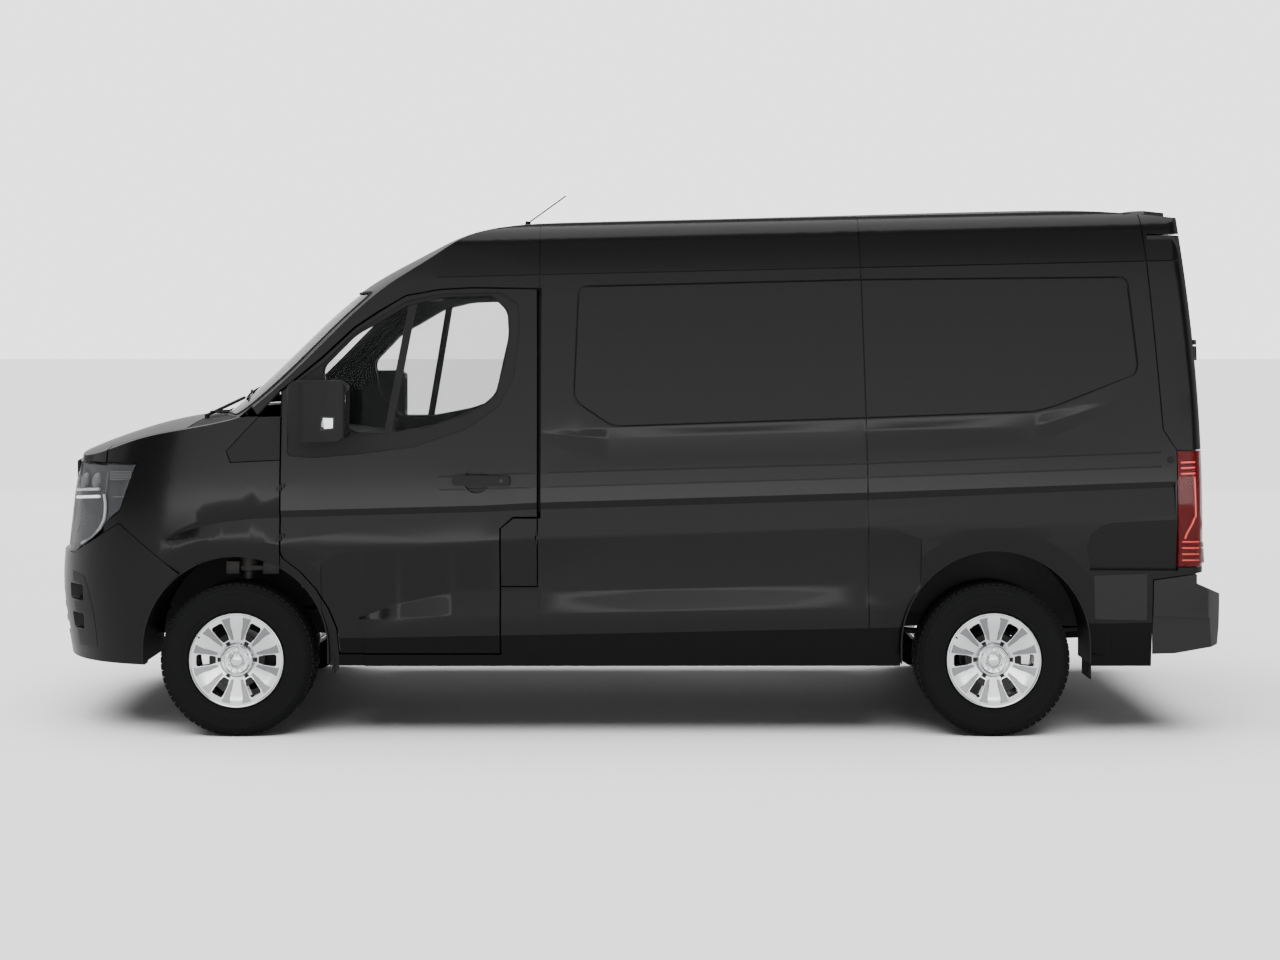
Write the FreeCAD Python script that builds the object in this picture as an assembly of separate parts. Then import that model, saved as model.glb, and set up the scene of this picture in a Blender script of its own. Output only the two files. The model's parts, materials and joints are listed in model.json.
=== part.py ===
import FreeCAD, Part
import math
import os
from FreeCAD import Vector as V

# Panel van. +X forward, +Y left, +Z up, millimetres, origin on the ground under the middle of the body.

# Overall layout
WHEELBASE = 3585.0
FRONT_AXLE_X = 1840.5
REAR_AXLE_X = FRONT_AXLE_X - WHEELBASE
SHUT_GAP = 8.0
SEAT_GAP = 0.3
FAR = 4000.0

# Wheels
TYRE_RADIUS = 362.0
TYRE_WIDTH = 230.0
TYRE_SHOULDER = 34.0
TYRE_SIDES = 60
WHEEL_Y = 885.0
RIM_RADIUS = 226.0
COVER_DISH = 26.0
PETALS = 6
HUB_BORE = 38.0
WHEEL_FACE_Y = 88.0

# Outer skin: half width against height amidships, nose and tail against height
HALF_WIDTH = [(100, 935), (400, 978), (700, 1002), (950, 1010), (1150, 1005), (1400, 986), (1800, 943), (2200, 886)]
NOSE_X = [(300, 2775), (500, 2812), (760, 2824.5), (1000, 2800), (1225, 2768), (1400, 2715), (1640, 2640)]
TAIL_X = [(300, -2742), (800, -2742), (1355, -2737), (1925, -2710), (2444, -2660), (2640, -2638)]
NOSE_START = 1633.0
NOSE_POWER = 3.5
NOSE_ROUND = 3.0
BUMPER_PROUD = 18.0
TAIL_CORNER = 60.0

# Centre line of roof, windscreen and bonnet: x, z, and how far each moves in x and z by CROWN_Y
CROWN_Y = 900.0
ROOF_LINE = [(-2990, 2452, 0, -40), (-2680, 2496, 0, -40), (-2340, 2528, 0, -42), (-1850, 2530, 0, -42),
             (-1172, 2512, 0, -42), (-400, 2491, 0, -42), (300, 2474, 0, -42), (620, 2450, -20, -38),
             (850, 2392, -80, -25), (1048, 2300, -150, -12), (1320, 2150, -200, 0), (1690, 1825, -200, 5),
             (2060, 1500, -200, 10)]
BONNET_LINE = [(2060, 1500, -200, 10), (2155, 1494, -90, -28), (2344, 1463, 0, -62), (2530, 1409, 0, -92),
               (2742, 1329, 0, -120), (2960, 1215, 0, -130)]
CROWN_STATIONS = [-1150, -575, 0, 575, 1150]

# Gutter line on the side, and the tall roof above it
ROOF_RISE = 0.0230
GUTTER_Z = 2198.6
ROOF_SHOULDER_Z = 150.0
ROOF_SHOULDER_IN = 26.0
ROOF_CORNER = 124.0

# Walls
WALL = 58.0
ROOF_WALL = 42.0
SKIN_BOTTOM = 331.0
DOOR_BOTTOM = 393.0

# Pressed lines of the left side, front to rear: x, then heights of top edge, deepest line and foot
CHARACTER_LINE = [(1629, 1072, 1039, 905), (685, 1096, 1065, 935), (412, 1110, 1077, 950), (-1136, 1157, 1122, 995),
                  (-2600, 1211, 1182, 1050)]
CHARACTER_NOSE = [(2185, 936, 932, 928), (2110, 984, 962, 930), (2006, 1030, 998, 935), (1912, 1053, 1016, 915),
                  (1770, 1067, 1032, 905), (1629, 1072, 1039, 905)]
CHARACTER_DEPTH = 15.0
BELT_SHADE = [(420, 1455, 1440, 1400), (77, 1462, 1410, 1300), (-1126, 1500, 1445, 1335), (-1938, 1530, 1466, 1380),
              (-2300, 1600, 1580, 1540)]
BELT_DEPTH = 8.0
FLANK = [(1440, 850, 560, 555), (1251, 888, 566, 556), (1075, 895, 628, 558), (817, 906, 682, 573),
         (412, 939, 688, 579), (-1126, 978, 728, 605), (-1400, 985, 733, 606)]
FLANK_DEPTH = 22.0
REAR_FLANK = [(-2150, 1010, 794, 790), (-2614, 1030, 792, 788)]
REAR_FLANK_DEPTH = 22.0
FLARE_WIDTH = 98.0
FLARE_DEPTH = 16.0
GROOVE = 9.0
GROOVE_DEPTH = 7.0
SEAM = 6.0
WAIST_GROOVES = [[(883, 1232), (412, 1251), (-1136, 1294), (-2532, 1347)],
                 [(878, 1171), (412, 1183), (-1136, 1228), (-2532, 1280)]]

# Wheel arches: centre height and radius
FRONT_ARCH = (1848.0, 415.0, 443.0)
REAR_ARCH = (-1755.0, 435.0, 450.0)
LINER_WALL = 6.0
LINER_LOW = 345.0
FRONT_WELL_Y = 540.0
REAR_WELL_Y = 730.0

# Front doors
DOOR_FRONT_X = 1629.0
DOOR_REAR_X = 409.0
DOOR_HINGE_Y = 1013.0
DOOR_HINGES = (930.0, 1165.0)
DOOR_BARREL = 5.0
GLASS_WALL = 5.0
GLASS_INSET = 14.0
FRAME_INSET = 5.0
FRAME_WALL = 16.0
FUEL_FRONT_X = 595.7
FUEL_TOP_Z = 1043.0
FUEL_BOTTOM_Z = 713.5

HANDLE_X = 704.0
HANDLE_Z = 1213.0
HANDLE_CUP = 60.0
FLAP_HINGE_Y = 1010.0
FLAP_HINGE_Z = 945.0
FLAP_BARREL = 4.0
FLAP_WALL = 34.0

# Bonnet, cowl and nose
BONNET_EDGE = 55.0
BONNET_RIM = 10.0
BONNET_RIM_WIDTH = 40.0
BONNET_REAR_X = 2095.0
BONNET_FRONT_Z = 1290.0
BONNET_CORNER_X = 2500.0
COWL_Z = 1512.0
LAMP_INNER_Y = 560.0
GRILLE_LOW = 862.0
GRILLE_BARS = 5
GRILLE_BAR = 26.0

# Load space
FLOOR_TOP = 600.0
CAB_FLOOR = 585.0
FLOOR_WALL = 45.0
FLOOR_BOTTOM = FLOOR_TOP - FLOOR_WALL
RAIL_Z = 455.0
RAIL_INNER_Y = 440.0
RAIL_OUTER_Y = 520.0
SWING_GAP = 6.0
BULKHEAD_X = 390.0
BULKHEAD_WALL = 30.0
SILL_HALF = 960.0
SILL_WIDTH = 160.0

TIE_X = (-2100.0, 100.0)
TIE_Y = 650.0
TIE_RADIUS = 5.5

# Mechanical parts
ENGINE_LOW = 420.0
ENGINE_REAR_X = 1950.0
FIREWALL_X = 1560.0
SEAT_Z = 960.0
PILLAR_LAMP = 34.0

# Rear doors
REAR_DOOR_HALF = 860.0
REAR_DOOR_LOW = 790.0
REAR_STEP_Z = 620.0
REAR_STEP_HALF = 740.0
BUMPER_EDGE = 5.0
BUMPER_TOP = [(-2499.0, 742.0), (-2702.0, 771.0)]
ROOF_LIP = 20.0
STOP_LAMP_HALF = 150.0
REAR_DOOR_HIGH = 2380.0
REAR_HINGE_Y = 866.0
REAR_HINGE_LOW = (-2764.0, 800.0)
REAR_HINGE_HIGH = (-2724.0, 1925.0)
REAR_STEP_SWING = 121.0
HINGE_HEIGHTS = (845.0, 1815.0)
PIN_RADIUS = 11.0
LAMP_GAP_Y = 7.5

# Steering axis of the left wheel: foot and lean towards the middle
KING_Y = 790.0
KING_Z = 235.0
KING_LEAN = 0.2
STRUT_TOP = 872.0
STRUT_RADIUS = 27.0
BRAKE_DISC_RADIUS = 126.0

# Sliding door on the right
SLIDE_FRONT_X = 395.0
SLIDE_REAR_X = -1110.0
SLIDE_TOP_Z = 2085.0

parts = {}


def save(name, shape):
    """Keep one piece of the van under its node name."""
    solids = [s for s in shape.Solids if s.Volume > 500.0]
    parts[name] = solids[0] if len(solids) == 1 else Part.makeCompound(solids)


def through(points, x):
    """Smooth monotone curve through (x, value) pairs."""
    if x <= points[0][0]:
        return points[0][1]
    if x >= points[-1][0]:
        return points[-1][1]
    i = max(k for k in range(len(points) - 1) if points[k][0] <= x)
    last = len(points) - 1

    def secant(k):
        return (points[k + 1][1] - points[k][1]) / (points[k + 1][0] - points[k][0])

    def slope(k):
        if k == 0:
            return secant(0)
        if k == last:
            return secant(last - 1)
        before, after = secant(k - 1), secant(k)
        return 0.0 if before * after <= 0 else 2 * before * after / (before + after)

    step = points[i + 1][0] - points[i][0]
    t = (x - points[i][0]) / step
    ends = (2 * t**3 - 3 * t**2 + 1) * points[i][1] + (3 * t**2 - 2 * t**3) * points[i + 1][1]
    return ends + step * ((t**3 - 2 * t**2 + t) * slope(i) + (t**3 - t**2) * slope(i + 1))


def box(x0, x1, y0, y1, z0, z1):
    return Part.makeBox(x1 - x0, y1 - y0, z1 - z0, V(x0, y0, z0))


def rounded_wire(points, radius=0.0):
    """Closed wire through 3-D corner points, each corner rounded by radius where it fits."""
    count = len(points)
    edges = []
    ends = []
    for i in range(count):
        corner, before, after = points[i], points[i - 1], points[(i + 1) % count]
        r = radius[i] if isinstance(radius, (list, tuple)) else radius
        a = (before - corner).normalize()
        b = (after - corner).normalize()
        turn = math.pi - a.getAngle(b)
        if r <= 0 or turn < 0.01:
            ends.append((corner, corner, None))
            continue
        cut = r * math.tan(turn / 2)
        cut = min(cut, 0.45 * before.distanceToPoint(corner), 0.45 * after.distanceToPoint(corner))
        r = cut / math.tan(turn / 2)
        middle = (a + b).normalize() * (r / math.cos(turn / 2) - r)
        ends.append((corner + a * cut, corner + b * cut, corner + middle))
    for i in range(count):
        start, stop, middle = ends[i]
        if middle is not None:
            edges.append(Part.Arc(start, middle, stop).toShape())
        following = ends[(i + 1) % count][0]
        if stop.distanceToPoint(following) > 1e-6:
            edges.append(Part.LineSegment(stop, following).toShape())
    return Part.Wire(edges)


def side_prism(outline, y0=0.0, y1=FAR, radius=0.0):
    """Prism across the van from an (x, z) outline."""
    wire = rounded_wire([V(x, y0, z) for x, z in outline], radius)
    return Part.Face(wire).extrude(V(0, y1 - y0, 0))


def front_prism(outline, x0, x1, radius=0.0):
    """Prism along the van from a (y, z) outline."""
    wire = rounded_wire([V(x0, y, z) for y, z in outline], radius)
    return Part.Face(wire).extrude(V(x1 - x0, 0, 0))


def plan_prism(outline, z0, z1, radius=0.0):
    """Upright prism from an (x, y) outline."""
    wire = rounded_wire([V(x, y, z0) for x, y in outline], radius)
    return Part.Face(wire).extrude(V(0, 0, z1 - z0))


def cylinder(radius, start, stop):
    axis = stop - start
    return Part.makeCylinder(radius, axis.Length, start, axis)


def mirrored(shape):
    return shape.mirror(V(0, 0, 0), V(0, 1, 0))


def both(shape):
    return Part.makeCompound([shape, mirrored(shape)])


def fused(shapes):
    body = shapes[0].fuse(shapes[1:]) if len(shapes) > 1 else shapes[0]
    return body.removeSplitter()


# Outer skin


def half_width(x, z):
    """Distance of the side skin from the middle; the section climbs towards the rear."""
    return through(HALF_WIDTH, z + ROOF_RISE * x)


def nose_wire(z, inset, reach=0.0):
    """Plan outline of the nose at one height, closed behind its start."""
    half = half_width(NOSE_START, z) - inset
    length = through(NOSE_X, z) - inset + reach - NOSE_START
    steps = 7
    points = []
    for i in range(2 * steps + 1):
        angle = math.pi / 2 * (1 - i / steps)
        along = max(math.cos(angle), 0.0) ** (2 / NOSE_POWER)
        across = abs(math.sin(angle)) ** (2 / NOSE_ROUND) * (1 if i < steps else -1)
        points.append(V(NOSE_START + length * along, 0.0 if i == steps else half * across, z))
    curve = Part.BSplineCurve()
    curve.interpolate(points)
    back = NOSE_START - 60
    corners = [points[-1], V(back, -half, z), V(back, half, z), points[0]]
    return Part.Wire([curve.toShape()] + [Part.LineSegment(a, b).toShape() for a, b in zip(corners, corners[1:])])


def nose_loft(inset, reach=0.0):
    levels = [250] + [z for z, x in NOSE_X[1:]]
    return Part.makeLoft([nose_wire(z, inset, reach) for z in levels], True, False)


def crown_wire(y, inset):
    """Lengthwise section of roof, windscreen and bonnet at one distance from the middle."""
    share = (y / CROWN_Y) ** 2

    def line(points):
        moved = [(x + dx * share, z + dz * share) for x, z, dx, dz in points]
        out = []
        for i, (x, z) in enumerate(moved):
            x0, z0 = moved[max(i - 1, 0)]
            x1, z1 = moved[min(i + 1, len(moved) - 1)]
            length = math.hypot(x1 - x0, z1 - z0)
            out.append(V(x + inset * (z1 - z0) / length, y, z - inset * (x1 - x0) / length))
        return out

    roof = line(ROOF_LINE)
    bonnet = line(BONNET_LINE)
    bonnet[0] = roof[-1]
    roof_curve = Part.BSplineCurve()
    roof_curve.interpolate(roof)
    bonnet_curve = Part.BSplineCurve()
    bonnet_curve.interpolate(bonnet)
    low = 200.0
    return Part.Wire([
        roof_curve.toShape(),
        bonnet_curve.toShape(),
        Part.LineSegment(bonnet[-1], V(bonnet[-1].x, y, low)).toShape(),
        Part.LineSegment(V(bonnet[-1].x, y, low), V(roof[0].x, y, low)).toShape(),
        Part.LineSegment(V(roof[0].x, y, low), roof[0]).toShape(),
    ])


def crown_loft(inset):
    return Part.makeLoft([crown_wire(y, inset) for y in CROWN_STATIONS], True, False)


def gutter_z(x):
    return GUTTER_Z - ROOF_RISE * x


def body_prism(inset):
    """Cross-section of sides and tall roof, run rearwards and upwards."""
    x0 = 3000.0
    drop = ROOF_RISE * x0
    side = [V(x0, y - inset, z - drop) for z, y in HALF_WIDTH]
    shoulder = V(x0, side[-1].y - ROOF_SHOULDER_IN, side[-1].z + ROOF_SHOULDER_Z)
    r = ROOF_CORNER
    lean = math.atan2(ROOF_SHOULDER_IN, ROOF_SHOULDER_Z)
    centre = shoulder + V(0, -r * math.cos(lean), -r * math.sin(lean))
    turned = (math.pi / 2 + lean) / 2
    middle = centre + V(0, r * math.cos(turned), r * math.sin(turned))
    top = centre + V(0, 0, r)

    def flip(p):
        return V(p.x, -p.y, p.z)

    def side_curve(points):
        curve = Part.BSplineCurve()
        curve.interpolate(points)
        return curve.toShape()

    edges = [
        Part.LineSegment(flip(side[0]), side[0]).toShape(),
        side_curve(side),
        Part.LineSegment(side[-1], shoulder).toShape(),
        Part.Arc(shoulder, middle, top).toShape(),
        Part.Arc(top, V(x0, 0, top.z + 60), flip(top)).toShape(),
        Part.Arc(flip(top), flip(middle), flip(shoulder)).toShape(),
        Part.LineSegment(flip(shoulder), flip(side[-1])).toShape(),
        side_curve([flip(p) for p in reversed(side)]),
    ]
    length = 6200.0
    return Part.Face(Part.Wire(edges)).extrude(V(-length, 0, length * ROOF_RISE))


def tail_prism(inset):
    """Body section ahead of the leaning tail."""
    tail = Part.BSplineCurve()
    tail.interpolate([V(x + inset, 0, z) for z, x in TAIL_X])
    low, high = V(TAIL_X[0][1] + inset, 0, TAIL_X[0][0]), V(TAIL_X[-1][1] + inset, 0, TAIL_X[-1][0])
    corners = [high, V(FAR, 0, high.z), V(FAR, 0, low.z), low]
    wire = Part.Wire([tail.toShape()] + [Part.LineSegment(a, b).toShape() for a, b in zip(corners, corners[1:])])
    face = Part.Face(wire)
    face.translate(V(0, -1300, 0))
    return face.extrude(V(0, 2600, 0)).common(body_prism(inset))


def tail_corner():
    """What the round upright corner of the tail takes off on the left."""
    r = TAIL_CORNER
    bend = r * (1 - math.sqrt(0.5))
    spare = 60.0
    slope = ROOF_SHOULDER_IN / ROOF_SHOULDER_Z
    sections = []
    for z in (250, 700, 1000, 1400, 1800, 2200, 2450, 2700):
        x = through(TAIL_X, z)
        y = half_width(x, z) - slope * max(0.0, z - gutter_z(x))
        corners = [V(x + r, y, z), V(x + r, y + spare, z), V(x - spare, y + spare, z), V(x - spare, y - r, z),
                   V(x, y - r, z)]
        edges = [Part.LineSegment(a, b).toShape() for a, b in zip(corners, corners[1:])]
        edges.append(Part.Arc(V(x, y - r, z), V(x + bend, y - bend, z), V(x + r, y, z)).toShape())
        sections.append(Part.Wire(edges))
    return Part.makeLoft(sections, True, False)


def skin_y(x, z):
    """Distance of the side skin from the middle, along the body and round the nose."""
    if x <= NOSE_START:
        return half_width(x, z)
    share = (x - NOSE_START) / (through(NOSE_X, z) - NOSE_START)
    sine = math.sqrt(max(0.0, 1 - share ** NOSE_POWER))
    return half_width(NOSE_START, z) * sine ** (2 / NOSE_ROUND)


def skin_point(x, z, depth=0.0):
    return V(x, skin_y(x, z) - depth, z)


def pressed(sections, ruled=True):
    """Cutter lofted through quad sections that start and end on the skin, opened outwards."""
    out = V(0, 70, 0)
    wires = []
    for section in sections:
        ring = section + [section[-1] + out, section[0] + out]
        wires.append(Part.makePolygon(ring + [ring[0]]))
    return Part.makeLoft(wires, True, ruled)


def valley(stations, depth, taper_first=False, taper_last=False):
    """Cutter of a pressed line: in from the top edge to the deepest line, and out again to the foot."""
    sections = []
    for i, (x, top, deep, foot) in enumerate(stations):
        shallow = (i == 0 and taper_first) or (i == len(stations) - 1 and taper_last)
        sections.append([skin_point(x, top), skin_point(x, deep, 0.5 if shallow else depth), skin_point(x, foot)])
    return pressed(sections)


def flare(spec, first, last, steps):
    """Cutter that slopes the skin in towards the lip of a wheel arch, between two angles in degrees."""
    x, z, radius = spec
    sections = []
    for i in range(steps + 1):
        angle = math.radians(first + (last - first) * i / steps)
        edge, lip = radius + FLARE_WIDTH, radius - 12
        outer = skin_point(x + edge * math.cos(angle), z + edge * math.sin(angle))
        inner = skin_point(x + lip * math.cos(angle), z + lip * math.sin(angle), FLARE_DEPTH)
        sections.append([outer, inner])
    return pressed(sections, False)


def strip(line, width):
    """Narrow prism across the van along a line of (x, z) points."""
    upper = [(x, z + width / 2) for x, z in line]
    lower = [(x, z - width / 2) for x, z in reversed(line)]
    return side_prism(upper + lower)


def upright(line, width):
    """Narrow prism across the van along a steep line of (x, z) points."""
    ahead = [(x + width / 2, z) for x, z in line]
    behind = [(x - width / 2, z) for x, z in reversed(line)]
    return side_prism(ahead + behind)


def window_panel_outline(inset):
    """Long pressed panel where windows would sit, narrower by inset all round."""
    i = inset
    return [(228 - i, 2138 - i), (-1126, 2171 - i), (-2400 + i, 2183 - i), (-2438 + i, 1760), (-2425 + i, 1715),
            (-2046, 1563 + i), (-1938, 1534 + i), (-1126, 1504 + i), (60, 1464 + i), (250 - i, 1590 + i / 2)]


def flank_outline():
    """Edge of the hollow flank between the wheel arches."""
    return [(1470, 785), (1428, 826), (1365, 866), (1260, 895), (596, 930), (-1126, 985), (-1250, 985), (-1350, 955),
            (-1494, 905), (-1494, 300), (1470, 300)]


def rear_flank_outline():
    return [(-2196, 700), (-2196, 830), (-2180, 900), (-2200, 960), (-2250, 1000), (-2320, 1020), (-2700, 1042),
            (-2700, 700)]


def side_relief():
    """Everything pressed into the left side behind the nose."""
    seams = [
        strip([(-3100, gutter_z(-3100)), (900, gutter_z(900))], SEAM),
        upright([(-1110, 2600), (-1126, 2171), (-1145, 1346), (-1152, 762), (-1156, 393)], SEAM),
        upright([(-2455, 2600), (-2495, 2231), (-2519, 1884), (-2547, 1454), (-2612, 1352)], SEAM),
        upright([(SLIDE_FRONT_X + 14, 2600), (SLIDE_FRONT_X + 14, 2125)], SEAM),
    ]
    grooves = [strip(line, GROOVE) for line in WAIST_GROOVES]
    panel = side_prism(window_panel_outline(0), radius=45).cut(side_prism(window_panel_outline(GROOVE), radius=38))
    thin = Part.makeCompound(seams + grooves + [panel]).cut(body_prism(GROOVE_DEPTH))
    sill = side_prism([(1300, 474), (412, 482), (-1126, 513), (-1320, 517), (-1320, 300), (1300, 300)])
    front = side_prism([(1500, 300), (1500, 590), (1262, 568), (1236, 500), (1236, 300)])
    low = sill.cut(body_prism(GROOVE_DEPTH)).fuse(front.cut(body_prism(FLANK_DEPTH)))
    return [
        thin,
        low,
        valley(CHARACTER_LINE, CHARACTER_DEPTH),
        valley(BELT_SHADE, BELT_DEPTH, True, True),
        valley(FLANK, FLANK_DEPTH).common(side_prism(flank_outline(), radius=60)),
        valley(REAR_FLANK, REAR_FLANK_DEPTH).common(side_prism(rear_flank_outline(), radius=50)),
        flare(REAR_ARCH, -6, 186, 12),
        flare(FRONT_ARCH, 100, 186, 8),
    ]


def nose_relief():
    """Everything pressed into the left side of the nose."""
    return [valley(CHARACTER_NOSE, CHARACTER_DEPTH, True), flare(FRONT_ARCH, 20, 130, 9)]


def rear_envelope(inset, top_inset):
    return tail_prism(inset).common(crown_loft(top_inset))


def nose_envelope(inset, top_inset, reach=0.0):
    return nose_loft(inset, reach).common(crown_loft(top_inset))


# Side outlines of the panels


def door_outline(grow):
    """Outline of the front door's opening; grow widens it all round."""
    g = grow
    return [
        (1352 + g, DOOR_BOTTOM - g), (1364.7 + g, 510.6), (1402.5 + g, 605), (1459 + g, 699), (1534.6 + g, 784),
        (1614.7 + g, 845.6), (DOOR_FRONT_X + g, 875), (DOOR_FRONT_X + g, 1633.5 + g), (1440 + g, 1789 + g),
        (1284.5 + g, 1935 + g), (1171 + g, 2011 + g), (1048.6, 2086 + g), (888, 2115 + g), (732, 2124 + g),
        (DOOR_REAR_X - g, 2119 + g), (DOOR_REAR_X - g, FUEL_TOP_Z - g), (534.4 - g, FUEL_TOP_Z - g),
        (FUEL_FRONT_X - g, 987), (FUEL_FRONT_X - g, DOOR_BOTTOM - g),
    ]


def glass_outline():
    """Sight edge of the front door's glass."""
    return [
        (1290, 1437), (1412, 1560), (1440, 1745), (1284, 1905), (1171, 1968), (1040, 2045), (880, 2084),
        (640, 2092), (560, 2020), (552, 1900), (612, 1620), (690, 1555), (880, 1480), (1100, 1437),
    ]


def frame_outline():
    """Outer edge of the dark frame round the door's glass."""
    return [
        (1478, 1320), (1602, 1330), (1602, 1650), (1440, 1766), (1284, 1920), (1171, 1990), (1046, 2064), (885, 2099),
        (600, 2106), (509, 2050), (505, 1900), (530, 1700), (600, 1560), (760, 1452), (1000, 1370), (1280, 1336),
    ]


def gutter_outline():
    """Everything above the gutter and the outer edge of the windscreen pillars."""
    rear = -3200.0
    return [
        (rear, gutter_z(rear)), (900, gutter_z(900)), (1063, 2153), (1206, 2079), (1460, 1864), (1646, 1690),
        (1838, COWL_Z), (FAR, COWL_Z), (FAR, FAR), (rear, FAR),
    ]


def pillar_tip_outline(grow):
    return [(DOOR_FRONT_X + 8, 1645 - grow), (1747 + grow, 1525 - grow), (1789 + grow, 1582), (1600, 1790), (1600, 1645)]


def quarter_outline(grow):
    return [(1889 + grow, 1352), (1868 + grow, 1300 - grow), (DOOR_FRONT_X + 8, 1312 - grow),
            (DOOR_FRONT_X + 8, 1625 + grow)]


def lamp_outline(grow):
    return [(2900, 1284 + grow), (2330 - grow, 1290 + grow), (2411 - grow, 1066), (2683, 843 - grow),
            (2900, 835 - grow)]


def bumper_outline(grow):
    return [(2900, 835 + grow), (2683, 843 + grow), (2420, 1000 + grow), (2407, 996 + grow), (2110 - grow, 765),
            (2110 - grow, 300), (2900, 300)]


def arch(spec, inset=0.0, y0=0.0, y1=FAR):
    """Round-topped wheel opening seen from the side."""
    x, z, radius = spec
    r = radius - inset
    wire = Part.Wire([
        Part.LineSegment(V(x - r, y0, 0), V(x - r, y0, z)).toShape(),
        Part.Arc(V(x - r, y0, z), V(x, y0, z + r), V(x + r, y0, z)).toShape(),
        Part.LineSegment(V(x + r, y0, z), V(x + r, y0, 0)).toShape(),
        Part.LineSegment(V(x + r, y0, 0), V(x - r, y0, 0)).toShape(),
    ])
    return Part.Face(wire).extrude(V(0, y1 - y0, 0))


def bonnet_region(grow):
    """Space over the bonnet: inside the fender tops, and the whole width ahead of the lamp's top corner."""
    inside = Part.Face(nose_wire(1350.0, BONNET_EDGE - grow)).extrude(V(0, 0, 600))
    ahead = box(BONNET_CORNER_X - grow, FAR, -FAR, FAR, BONNET_FRONT_Z - grow, 2000)
    inside = inside.common(box(BONNET_REAR_X - grow, FAR, -FAR, FAR, 1200, 2000))
    return inside.fuse(ahead).common(box(1500, FAR, -FAR, FAR, BONNET_FRONT_Z - grow, COWL_Z + 80))


def front_panels():
    """Bonnet, bumper, lamps, grille and fenders, split from the hollow nose."""
    ahead = box(DOOR_FRONT_X + SHUT_GAP, FAR, -FAR, FAR, SKIN_BOTTOM, COWL_Z)
    outer = nose_envelope(0, 0).common(ahead).cut([both(tool) for tool in nose_relief()])
    inner = nose_envelope(WALL, ROOF_WALL)
    shell = outer.cut([inner, both(arch(FRONT_ARCH, y0=FRONT_WELL_Y))])
    under_rim = crown_loft(BONNET_RIM).common(box(1500, BONNET_CORNER_X, -FAR, FAR, 0, FAR))
    core = Part.Face(nose_wire(1350.0, BONNET_EDGE + BONNET_RIM_WIDTH)).extrude(V(0, 0, 600)).cut(crown_loft(ROOF_WALL))
    save("bonnet", shell.common(bonnet_region(0)).cut(under_rim.cut(core)))
    nose = shell.cut(bonnet_region(SHUT_GAP))
    deep = nose_envelope(0, 0, BUMPER_PROUD).common(ahead).cut([inner, both(arch(FRONT_ARCH, y0=FRONT_WELL_Y))])
    save("front_bumper", bumper_details(deep.common(side_prism(bumper_outline(0), -FAR, FAR))))
    lamp = nose.common(side_prism(lamp_outline(0), LAMP_INNER_Y, FAR))
    save("headlamps", both(lamp))
    save("grille", grille(outer))
    fender = nose.cut([box(1500, FAR, -FAR, 300, 0, FAR), side_prism(lamp_outline(4)), side_prism(bumper_outline(4)),
                       side_prism(quarter_outline(4)), side_prism(pillar_tip_outline(4)), cowl_space(0),
                       box(2500, FAR, -FAR, FAR, 0, 1280)])
    save("front_fenders", both(fused([fender] + [door_barrel(z, 1) for z in DOOR_HINGES])))
    return shell.common(side_prism(quarter_outline(0)))


def door_barrel(z, side):
    """Half of a front door hinge: side 1 stands on the fender, side -1 on the door above it."""
    x, y = DOOR_FRONT_X, DOOR_HINGE_Y
    low = z if side > 0 else z + 16 + SEAT_GAP
    barrel = cylinder(DOOR_BARREL, V(x, y, low), V(x, y, low + 16))
    if side < 0:
        return barrel.fuse(box(x - 18, x, y - 20, y, low, low + 16))
    root = x + SHUT_GAP + 0.5
    return barrel.fuse([box(x, root + 12, y - 6, y, low, low + 16), box(root, root + 12, y - 20, y, low, low + 16)])


def cowl_space(grow):
    """Space of the scuttle between bonnet and windscreen."""
    space = Part.Face(nose_wire(1350.0, BONNET_EDGE + SEAT_GAP - grow)).extrude(V(0, 0, 600))
    return space.common(box(DOOR_FRONT_X + SHUT_GAP, BONNET_REAR_X - SHUT_GAP, -FAR, FAR, 1380, COWL_Z))


def screen_prism(inset):
    """Opening of the windscreen seen from the front."""
    low, high = 887 - inset, 812 - inset
    foot, head = 1520 + inset, 2108 - inset
    return front_prism([(-low, foot), (low, foot), (high, head), (-high, head)], 1000, 2400, 60)


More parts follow.
